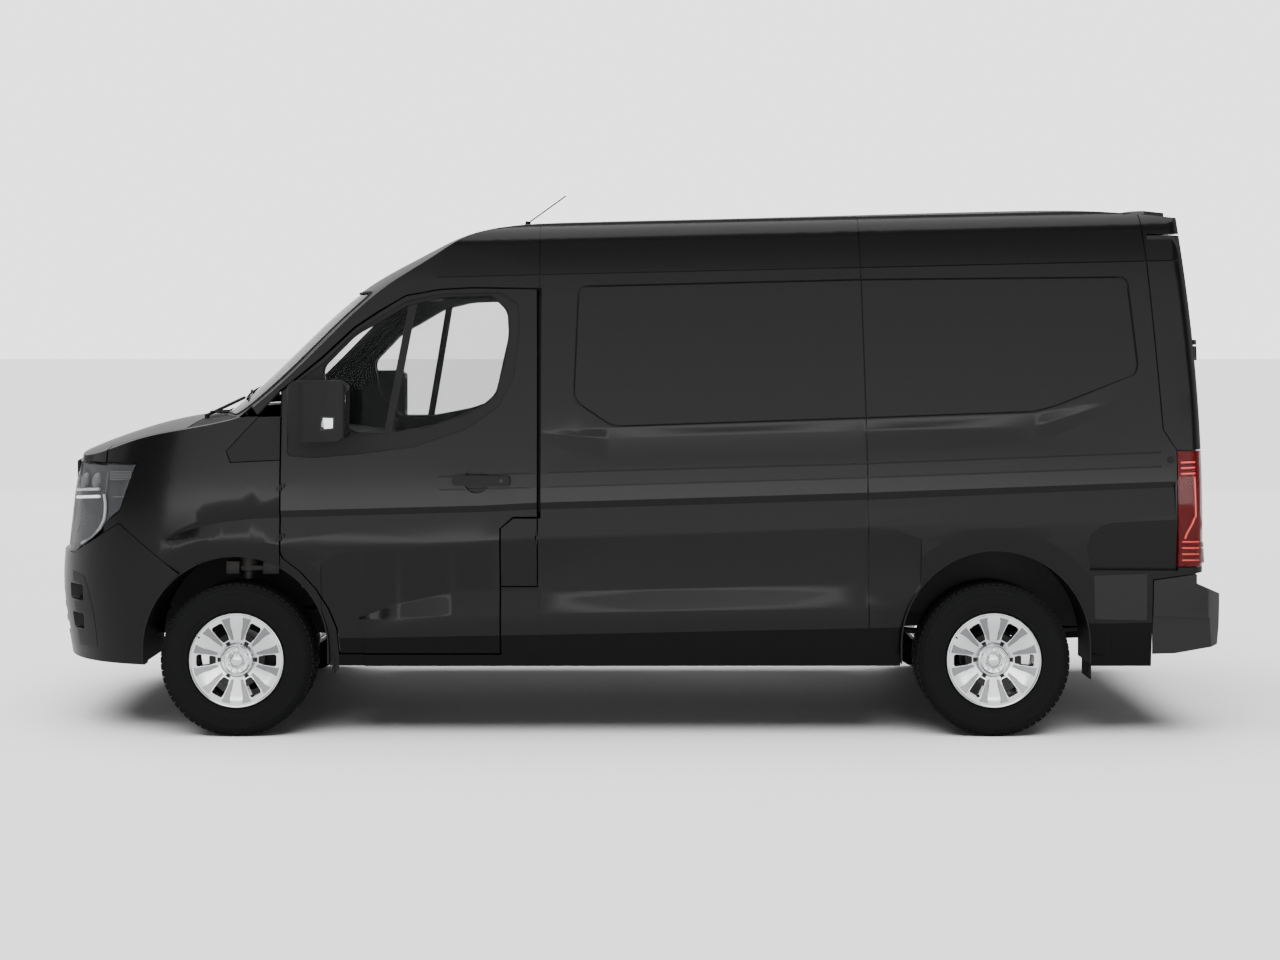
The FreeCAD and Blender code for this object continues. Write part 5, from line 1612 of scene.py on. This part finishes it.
@dataclass
class Outside(Maker):
    """Fittings on the sides, the nose and the tail."""

    door_rear: float = 0.409
    door_edge: tuple[Spot, ...] = (
        (1.631, 0.930), (1.631, 1.634), (1.442, 1.791), (1.286, 1.937), (1.172, 2.013), (1.049, 2.089),
        (0.888, 2.118), (0.732, 2.127), (0.407, 2.122), (0.407, 1.060),
    )
    step: float = 0.05
    waist: tuple[tuple[Spot, ...], ...] = (
        ((0.878, 1.232), (0.412, 1.251), (-1.136, 1.294), (-2.526, 1.347)),
        ((0.873, 1.171), (0.412, 1.183), (-1.136, 1.228), (-2.526, 1.280)),
    )
    seams: tuple[tuple[Spot, ...], ...] = (
        ((-2.630, 2.259), (0.900, 2.178)),
        ((-1.112, 2.300), (-1.126, 2.171), (-1.145, 1.346), (-1.152, 0.762), (-1.156, 0.420)),
        ((-2.486, 2.300), (-2.495, 2.231), (-2.519, 1.884), (-2.547, 1.454), (-2.610, 1.355)),
        ((0.409, 0.690), (0.409, 0.490)),
    )
    panel: tuple[Spot, ...] = (
        (0.2235, 2.1335), (-1.126, 2.1665), (-2.3955, 2.1785), (-2.4335, 1.760), (-2.4205, 1.717),
        (-2.045, 1.5675), (-1.938, 1.5385), (-1.126, 1.5085), (0.060, 1.4685), (0.2455, 1.592),
    )
    duct_outer: tuple[Spot, ...] = (
        (2.690, 0.758), (2.687, 0.678), (2.677, 0.590), (2.668, 0.515), (2.664, 0.455), (2.660, 0.398),
    )
    duct_inner: tuple[Spot, ...] = (
        (2.612, 0.740), (2.590, 0.678), (2.565, 0.600), (2.552, 0.515), (2.546, 0.455), (2.543, 0.398),
    )
    # Height of the seam sealer and of the dark strips that paint shade into the grooves.
    sealer_and_shade_height: float = 0.0012
    seal_inset: float = 0.028
    seal_depth: float = 0.048
    door_middle: Spot = (0.85, 1.75)
    brackets: tuple[Box, ...] = (
        ((1.872, 0.690, 0.742), (1.938, 0.764, 0.806), 0.006),
        ((1.680, 0.690, 0.742), (1.760, 0.764, 0.802), 0.006),
        ((1.760, 0.700, 0.758), (1.872, 0.740, 0.782), 0.004),
    )
    flaps: tuple[Box, ...] = (
        ((1.384, 0.800, 0.290), (1.392, 0.962, 0.395), 0.002),
        ((-2.212, 0.790, 0.268), (-2.204, 0.962, 0.400), 0.002),
    )
    sensors_y: tuple[float, ...] = (-0.620, -0.230, 0.230, 0.620)

    def grooves(self) -> None:
        """Sealer in the seams of the sides, and dark rubber strips in the pressed grooves as painted shade of
        the grooves.
        """
        for name, sign in SIDES:
            hull = ["body_side_" + name] + (["sliding_door"] if sign < 0 else [])
            side, door = Skin(self.stock, *hull), Skin(self.stock, "door_" + name)
            corners = rounded(self.panel, 0.060)
            waist = [dense(line, self.step) for line in self.waist]
            lines = [[(x, z) for x, z in line if x < self.door_rear - 0.012] for line in waist]
            panel = dense(corners + corners[:1], self.step)
            # The strips along the waist grooves and round the recessed panel are painted shade of the
            # grooves.
            paths = [side.sides(line, self.sealer_and_shade_height, sign) for line in [*lines, panel]]
            self.strip("groove_painted_shade_" + name, paths, 0.0085, "seal_rubber", height=self.sealer_and_shade_height)
            paths = [side.sides(dense(line, self.step), 0.0008, sign) for line in self.seams]
            self.strip("seam_sealer_" + name, paths, 0.0060, "seal_rubber", height=self.sealer_and_shade_height)
            # Dark strips in the door's grooves: painted shade.
            lines = [[(x, z) for x, z in line if x > self.door_rear + 0.006] for line in waist]
            paths = [door.sides(line, self.sealer_and_shade_height, sign) for line in lines]
            self.strip("door_groove_painted_shade_" + name, paths, 0.0085, "seal_rubber", "front_door_" + name,
                       height=self.sealer_and_shade_height)

    def patches(self) -> None:
        """Dark corner ducts of the front bumper, and the trim between rear arch and rear bumper."""
        corner: list[Shape] = []
        trim: list[Shape] = []
        for name, sign in SIDES:
            nose = Skin(self.stock, "front_bumper")
            outer, inner = (self.match(line, 30) for line in (self.duct_outer, self.duct_inner))
            corner.append(nose.ruled(outer, inner, 12, 0.0015, sign))
            tail = Skin(self.stock, "body_side_" + name)
            high = [(-2.215 - 0.0281 * k, 0.764 + 0.0012 * k) for k in range(11)]
            low = [(-2.225 - 0.0271 * k, 0.556 - 0.0004 * k) for k in range(11)]
            trim.append(tail.ruled(high, low, 8, 0.002, sign))
        self.solid("bumper_corner_ducts", corner, "trim_plastic")
        self.solid("rear_lower_trim", trim, "moulding_plastic", "body", "moulding_plastic")

    @staticmethod
    def match(line: Line, count: int) -> list[Spot]:
        """The same line with evenly spread points.

        Args:
            line: Its corners.
            count: How many points it gets.

        Returns:
            The points.
        """
        lengths = [0.0]
        for a, b in zip(line, line[1:]):
            lengths.append(lengths[-1] + (Vector(b) - Vector(a)).length)
        out: list[Spot] = []
        for k in range(count):
            want = lengths[-1] * k / (count - 1)
            i = max(j for j in range(len(line) - 1) if lengths[j] <= want + 1e-9)
            part = (want - lengths[i]) / (lengths[i + 1] - lengths[i])
            out.append(tuple(Vector(line[i]).lerp(Vector(line[i + 1]), min(1.0, part))))
        return out

    def seals(self) -> None:
        """Rubber round the door openings, behind the shut lines."""
        for name, sign in SIDES:
            skin = Skin(self.stock, "door_" + name)
            path: list[Vector] = []
            for x, z in dense(self.door_edge, self.step):
                inside = Vector(self.door_middle) - Vector((x, z))
                spot = Vector((x, z)) + inside.normalized() * self.seal_inset
                hit = skin.side(spot.x, spot.y, 0.0, sign)
                if hit is not None:
                    path.append(Vector((x, hit.y - self.seal_depth * sign, z)))
            self.strip("door_seal_" + name, [path], 0.028, "seal_rubber")

    def handles(self) -> None:
        """Lock barrels, load door handle, rear door handle and the round side plug."""
        for name, sign in SIDES:
            lock = [((0.585, 1.0335 * sign, 1.2150), (math.pi / 2, 0.0, 0.0))]
            self.repeat("door_lock_" + name, lock, (0.018, 0.018, 0.004), "cabin_plastic",
                        "front_door_" + name, bit=Bit.DISC)
        skin = Skin(self.stock, "body_side_left")
        plug = skin.side(-2.580, 1.312, -0.002)
        if plug is not None:
            self.repeat("side_plug", [(plug, (math.pi / 2, 0.0, 0.0))], (0.034, 0.034, 0.008), "seal_rubber",
                        bit=Bit.DISC)
        right = Skin(self.stock, "sliding_door")
        grip = right.sides([(x, 1.200) for x in (0.200, 0.225, 0.300, 0.340, 0.360)], 0.012, -1)
        self.strip("load_door_handle", [grip], 0.030, "trim_plastic", sides=12)
        rear = Skin(self.stock, "rear_door_right")
        spot = rear.along((-3.2, -0.070, 1.440), (1, 0, 0))
        if spot is not None:
            x = spot.x
            plate = block((x - 0.008, -0.092, 1.385), (x + 0.004, -0.028, 1.495), 0.004)
            lever = block((x - 0.030, -0.082, 1.405), (x - 0.006, -0.050, 1.475), 0.006)
            self.solid("rear_door_handle", [plate, lever], "trim_plastic", "rear_door_right")
        places = [((-2.8335, y, 0.600), (0.0, math.pi / 2, 0.0)) for y in self.sensors_y]
        self.repeat("park_sensors", places, (0.020, 0.020, 0.006), "trim_plastic", bit=Bit.DISC)

    def tail_seam(self) -> None:
        """Rubber down the middle between the rear doors, and the step's ribs."""
        rear = Skin(self.stock, "rear_door_left")
        hits = met(rear.along((-3.2, 0.012, 0.66 + 0.10 * k), (1, 0, 0), -0.002) for k in range(18))
        path = [p + Vector((0, -0.010, 0)) for p in hits]
        self.strip("rear_door_seal", [path], 0.010, "seal_rubber", "rear_door_left")
        bumper = Skin(self.stock, "rear_bumper")
        ribs = []
        for k in range(5):
            x = -2.762 - 0.016 * k
            p = bumper.along((x, 0.2, 1.2), (0, 0, -1), 0.0)
            if p is not None and p.z > 0.55:
                ribs.append([(x, -0.700 + 0.05 * i, p.z + 0.0005) for i in range(29)])
        self.strip("step_ribs", ribs, 0.005, "trim_plastic", "body", "moulding_plastic")

    def nose(self) -> None:
        """Upright slats behind the grille."""
        skin = Skin(self.stock, "grille", "front_bumper")
        slats = []
        for i in range(53):
            y = -0.520 + 0.020 * i
            p = skin.along((3.4, y, 0.872), (-1, 0, 0))
            if p is not None:
                slats.append(((p.x - 0.046, y, 1.072), (0.0, 0.0, 0.0)))
        self.repeat("grille_slats", slats, (0.012, 0.003, 0.405), "trim_plastic", "body", "grille_plastic")

    def below(self) -> None:
        """Brackets over the front wheels, and mud flaps."""
        bracket, flap = (joined(block(*box) for box in boxes) for boxes in (self.brackets, self.flaps))
        self.solid("strut_brackets", [on_side(bracket, s) for s in (1, -1)], "cast_metal", "body",
                   "cast_metal")
        self.solid("mud_flaps", [on_side(flap, s) for s in (1, -1)], "seal_rubber")

    def build(self) -> None:
        """Make all fittings."""
        self.seals()
        self.grooves()
        self.patches()
        self.handles()
        self.tail_seam()
        self.nose()
        self.below()


@dataclass
class Cabin(Maker):
    """Seats and what shows through the cab's glass."""

    seat_low: float = 0.960
    shrink: float = 0.012
    voxel: float = 0.008
    reach: float = 0.022
    frames: int = 15
    pressure: float = 4.0
    channel_depth: float = 0.007
    channel_width: float = 0.014
    channel_place: float = 0.27
    margin: float = 0.001
    pedals_y: tuple[float, ...] = (0.300, 0.395, 0.480)
    vents_y: tuple[float, ...] = (-0.790, -0.190, 0.190, 0.790)
    visors_y: tuple[float, ...] = (-0.42, 0.42)
    screen: Box = ((1.236, -0.110, 1.215), (1.252, 0.110, 1.345), 0.004)
    fascia: tuple[Box, ...] = (
        ((1.290, 0.230, 1.350), (1.430, 0.570, 1.415), 0.018),
        ((1.250, -0.130, 1.100), (1.300, 0.130, 1.350), 0.012),
        ((1.252, -0.720, 1.130), (1.290, -0.260, 1.235), 0.010),
    )
    card: tuple[Box, ...] = (
        ((0.620, 0.930, 0.700), (1.540, 0.950, 1.395), 0.008),
        ((0.720, 0.872, 1.040), (1.240, 0.935, 1.085), 0.012),
        ((0.700, 0.880, 0.660), (1.330, 0.935, 0.800), 0.012),
    )
    belt: tuple[Point, ...] = ((0.446, 0.905, 0.700), (0.440, 0.895, 1.200), (0.438, 0.862, 1.720))

    def outline(self, points: Line) -> list[Spot]:
        """Outline drawn in by the shrink and rounded.

        Args:
            points: X and Z of its corners.

        Returns:
            The rounded outline.
        """
        middle = sum((Vector(p) for p in points), Vector((0.0, 0.0))) / len(points)
        drawn = []
        for p in points:
            v = Vector(p) - middle
            inward = Vector([math.copysign(self.shrink, c) for c in v])
            drawn.append(tuple(middle + (v - inward)))
        return rounded(drawn, 0.035)

    def cushion(self, name: str, outline: Line, y0: float, y1: float, fill: float,
                channels: bool) -> bpy.types.Object:
        """One padded piece, puffed by a cloth simulation.

        Args:
            name: The piece's name.
            outline: Its outline seen from the side.
            y0: One end.
            y1: The other end.
            fill: How full it is; not used.
            channels: Whether two sewn channels run along it.

        Returns:
            The piece.
        """
        points, faces = prism(self.outline(outline), y0 + self.shrink, y1 - self.shrink)
        obj = self.stock.piece(name, points, faces, "seat_cloth", None)
        mesh = self.remeshed(obj)
        mesh = self.puffed(obj)
        low = Vector((min(p[0] for p in outline), y0, min(p[1] for p in outline)))
        high = Vector((max(p[0] for p in outline), y1, max(p[1] for p in outline)))
        middle = (y0 + y1) / 2
        for vert in mesh.vertices:
            if channels:
                off = abs(abs(vert.co.y - middle) - (y1 - y0) * self.channel_place)
                dip = max(0.0, 1 - off / self.channel_width)
                if abs(vert.normal.y) < 0.6:
                    vert.co -= vert.normal * self.channel_depth * dip * dip
            for axis in range(3):
                vert.co[axis] = min(max(vert.co[axis], low[axis] + self.margin), high[axis] - self.margin)
        mesh.shade_smooth()
        divide = obj.modifiers.new("smooth", "SUBSURF")
        divide.levels = divide.render_levels = 1
        self.stock.mount(obj, "body", "seat_cloth")
        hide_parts("cab_seats")
        return obj

    def remeshed(self, obj: bpy.types.Object) -> bpy.types.Mesh:
        """Turn an object's mesh into even small faces.

        Args:
            obj: The object.

        Returns:
            Its new mesh.
        """
        modifier = obj.modifiers.new("even", "REMESH")
        modifier.mode = "VOXEL"
        modifier.voxel_size = self.voxel
        return self.settled(obj)

    def settled(self, obj: bpy.types.Object) -> bpy.types.Mesh:
        """Apply an object's modifiers to its mesh.

        Args:
            obj: The object.

        Returns:
            Its new mesh.
        """
        graph = bpy.context.evaluated_depsgraph_get()
        mesh = bpy.data.meshes.new_from_object(obj.evaluated_get(graph))
        mesh.name = obj.name
        obj.modifiers.clear()
        obj.data = mesh
        if not mesh.materials:
            mesh.materials.append(self.stock.finish["seat_cloth"])
        return mesh

    def puffed(self, obj: bpy.types.Object) -> bpy.types.Mesh:
        """Inflate an object as cloth and limit how far its points travel.

        Args:
            obj: The object.

        Returns:
            Its new mesh.
        """
        start = [v.co.copy() for v in obj.data.vertices]
        cloth = obj.modifiers.new("cloth", "CLOTH")
        cloth.settings.use_pressure = True
        cloth.settings.uniform_pressure_force = self.pressure
        cloth.settings.effector_weights.gravity = 0.0
        cloth.settings.tension_stiffness = 12
        cloth.collision_settings.use_collision = False
        scene = bpy.context.scene
        for frame_number in range(1, self.frames + 1):
            scene.frame_set(frame_number)
        mesh = self.settled(obj)
        scene.frame_set(1)
        for vert, before in zip(mesh.vertices, start):
            move = vert.co - before
            if move.length > self.reach:
                vert.co = before + move.normalized() * self.reach
        return mesh

    def seats(self) -> None:
        """Cushions, backs and head rests."""
        low = self.seat_low
        cushion = [(0.600, low), (1.060, low), (1.060, 1.080), (0.600, 1.060)]
        back = [(0.490, low), (0.5997, low), (0.5997, 1.090), (0.530, 1.650), (0.430, 1.650)]
        rest = [(0.435, 1.6503), (0.525, 1.6503), (0.505, 1.830), (0.425, 1.830)]
        for name, y0, y1 in (("driver", 0.180, 0.660), ("bench", -0.760, -0.220)):
            self.cushion("seat_cushion_" + name, cushion, y0, y1, 0.7, True)
            self.cushion("seat_back_" + name, back, y0, y1, 0.6, True)
        for name, y in (("driver", 0.420), ("middle", -0.355), ("outer", -0.625)):
            self.cushion("head_rest_" + name, rest, y - 0.120, y + 0.120, 0.8, False)

    def controls(self) -> None:
        """Hub of the steering wheel, stalks, levers, pedals, vents and screen."""
        axis = Vector((-0.9, 0, 0.43)).normalized()
        hub = Vector((1.090, 0.400, 1.297)) + axis * 0.012
        pad = Vector((-0.43, 0, -0.9)).normalized()
        turn = (0.0, math.atan2(axis.x, axis.z), 0.0)
        self.repeat("steering_pad", [(hub, turn)], (0.150, 0.170, 0.045), "cabin_plastic", "body",
                    "cabin_plastic", bit=Bit.DOME)
        stem = hub - axis * 0.06
        stalks = [[stem, stem + Vector((0, 0.17 * s, 0.02)) + pad * 0.01] for s in (1, -1)]
        self.strip("steering_stalks", stalks, 0.012, "cabin_plastic", "body", "cabin_plastic")
        lever = [(1.262, 0.060, 1.115), (1.205, 0.060, 1.200)]
        self.strip("gear_lever", [lever], 0.012, "bright_metal", "body", "cabin_plastic")
        knob = [((1.200, 0.060, 1.212), (0, 0, 0))]
        self.repeat("gear_knob", knob, (0.044, 0.044, 0.052), "cabin_plastic", "body",
                    "cabin_plastic", bit=Bit.DOME)
        pedals = [((1.385, y, 0.735), (0.0, -0.5, 0.0)) for y in self.pedals_y]
        self.repeat("pedals", pedals, (0.012, 0.060, 0.085), "seal_rubber", "body", "cabin_plastic")
        rods = [[(1.392, y, 0.760), (1.440, y, 0.985)] for y in self.pedals_y]
        self.strip("pedal_arms", rods, 0.012, "cast_metal", "body", "cabin_plastic")
        fascia = [block(*box) for box in self.fascia]
        self.solid("dash_hood", fascia, "cabin_plastic", "body", "cabin_plastic")
        self.solid("dash_screen", [block(*self.screen)], "grille_plastic", "body", "cabin_plastic")
        vents = []
        for y in self.vents_y:
            vents += [((1.262, y, 1.285 + 0.011 * k), (0.0, 0.35, 0.0)) for k in range(5)]
        self.repeat("dash_vents", vents, (0.030, 0.090, 0.003), "trim_plastic", "body", "cabin_plastic")

    def doors(self) -> None:
        """Inner door trim with arm rest and bin, belts and sun visors."""
        card = joined(block(*box) for box in self.card)
        for name, sign in SIDES:
            self.solid("door_card_" + name, [on_side(card, sign)], "cabin_plastic", "front_door_" + name,
                       "cabin_plastic")
            belt = [(x, sign * y, z) for x, y, z in self.belt]
            self.strip("seat_belt_" + name, [belt], 0.046, "belt_webbing", "body", "cabin_plastic",
                       height=0.0025)
        visors = [block((1.020, y - 0.190, 2.085), (1.140, y + 0.190, 2.097), 0.004) for y in self.visors_y]
        self.solid("sun_visors", visors, "cabin_plastic", "body", "cabin_plastic")

    def build(self) -> None:
        """Make the cab's pieces."""
        self.seats()
        self.controls()
        self.doors()


@dataclass(frozen=True)
class Card:
    """Soft rectangular light that shows in gloss alone, as a white card beside the van does."""

    name: str
    place: Point
    width: float
    height: float
    power: float

    def hang(self) -> None:
        """Put it up, level and turned to the middle of the van."""
        data = bpy.data.lights.new(self.name, "AREA")
        data.shape = "RECTANGLE"
        data.size, data.size_y = self.width, self.height
        data.energy = self.power
        obj = bpy.data.objects.new(self.name, data)
        obj.location = self.place
        x, y, z = self.place
        aim = (0, 0, z) if y == 0 else (x, 0, z)
        obj.rotation_euler = (Vector(aim) - Vector(self.place)).to_track_quat("-Z", "Y").to_euler()
        obj.visible_diffuse = False
        bpy.context.scene.collection.objects.link(obj)


@dataclass
class Studio:
    """Pale floor, soft light and the camera."""

    stock: Stock
    lens: float = 55.32
    shift: float = -0.1172
    sensor: float = 36.0
    sight: float = 200.0
    reach: float = 120.0
    room: float = 0.17
    wall: float = 2.6
    sun: float = 7.2
    sun_width: float = math.radians(75)
    sun_turn: Point = (math.radians(-8), math.radians(6), 0)
    cards: tuple[Card, ...] = (
        Card("front_wall_light", (17.0, 0, 4.2), 14.0, 6.0, 330.0),
        Card("rear_wall_light", (-17.0, 0, 4.2), 14.0, 6.0, 330.0),
        Card("near_wall_light", (-0.3, 13.5, 4.2), 20.0, 6.0, 1150.0),
        Card("near_low_light", (-0.3, 13.095, 1.15), 20.0, 1.1, 620.0),
        Card("far_wall_light", (-0.3, -13.5, 4.2), 20.0, 6.0, 402.5),
        Card("far_low_light", (-0.3, -13.095, 1.15), 20.0, 1.1, 217.0),
    )

    def surroundings(self) -> bpy.types.World:
        """White behind the van, and a dim room in everything that it reflects.

        Returns:
            The world.
        """
        world = bpy.data.worlds.new("studio")
        world.use_nodes = True
        tree = world.node_tree
        wall = tree.nodes.new("ShaderNodeBackground")
        for shade, strength in ((tree.nodes["Background"], self.room), (wall, self.wall)):
            shade.inputs["Color"].default_value = (1.0, 1.0, 1.0, 1.0)
            shade.inputs["Strength"].default_value = strength
        rays = tree.nodes.new("ShaderNodeLightPath")
        choice = tree.nodes.new("ShaderNodeMixShader")
        tree.links.new(rays.outputs["Is Camera Ray"], choice.inputs[0])
        tree.links.new(tree.nodes["Background"].outputs[0], choice.inputs[1])
        tree.links.new(wall.outputs[0], choice.inputs[2])
        tree.links.new(choice.outputs[0], tree.nodes["World Output"].inputs["Surface"])
        return world

    def build(self) -> None:
        """Make floor, world, lights and camera."""
        r = self.reach
        floor = self.stock.piece("studio_floor", [(-r, -r, 0), (r, -r, 0), (r, r, 0), (-r, r, 0)],
                                 [(0, 1, 2, 3)], "studio_floor", None)
        bpy.context.scene.world = self.surroundings()
        for card in self.cards:
            card.hang()
        sun = bpy.data.lights.new("ceiling_light", "SUN")
        sun.energy, sun.angle = self.sun, self.sun_width
        lamp = bpy.data.objects.new("ceiling_light", sun)
        lamp.rotation_euler = self.sun_turn
        bpy.context.scene.collection.objects.link(lamp)
        camera = bpy.data.cameras.new("camera")
        camera.sensor_width, camera.lens = self.sensor, self.lens
        camera.shift_y, camera.clip_end = self.shift, self.sight
        obj = bpy.data.objects.new("camera", camera)
        obj.location = SIDE_EYE
        obj.rotation_euler = (math.pi / 2, 0.0, math.pi)
        bpy.context.scene.collection.objects.link(obj)
        bpy.context.scene.camera = obj


def main() -> None:
    """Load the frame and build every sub-assembly."""
    logging.basicConfig(level=logging.INFO, format="%(message)s")
    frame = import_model()
    stock = Stock(frame)
    patterns = Patterns(stock)
    for assembly in (Shell, Wheels, Lamps, Glazing, Outside, Cabin):
        LOG.info("building %s", assembly.__name__)
        assembly(stock, patterns).build()
    Studio(stock).build()


if __name__ == "__main__":
    main()
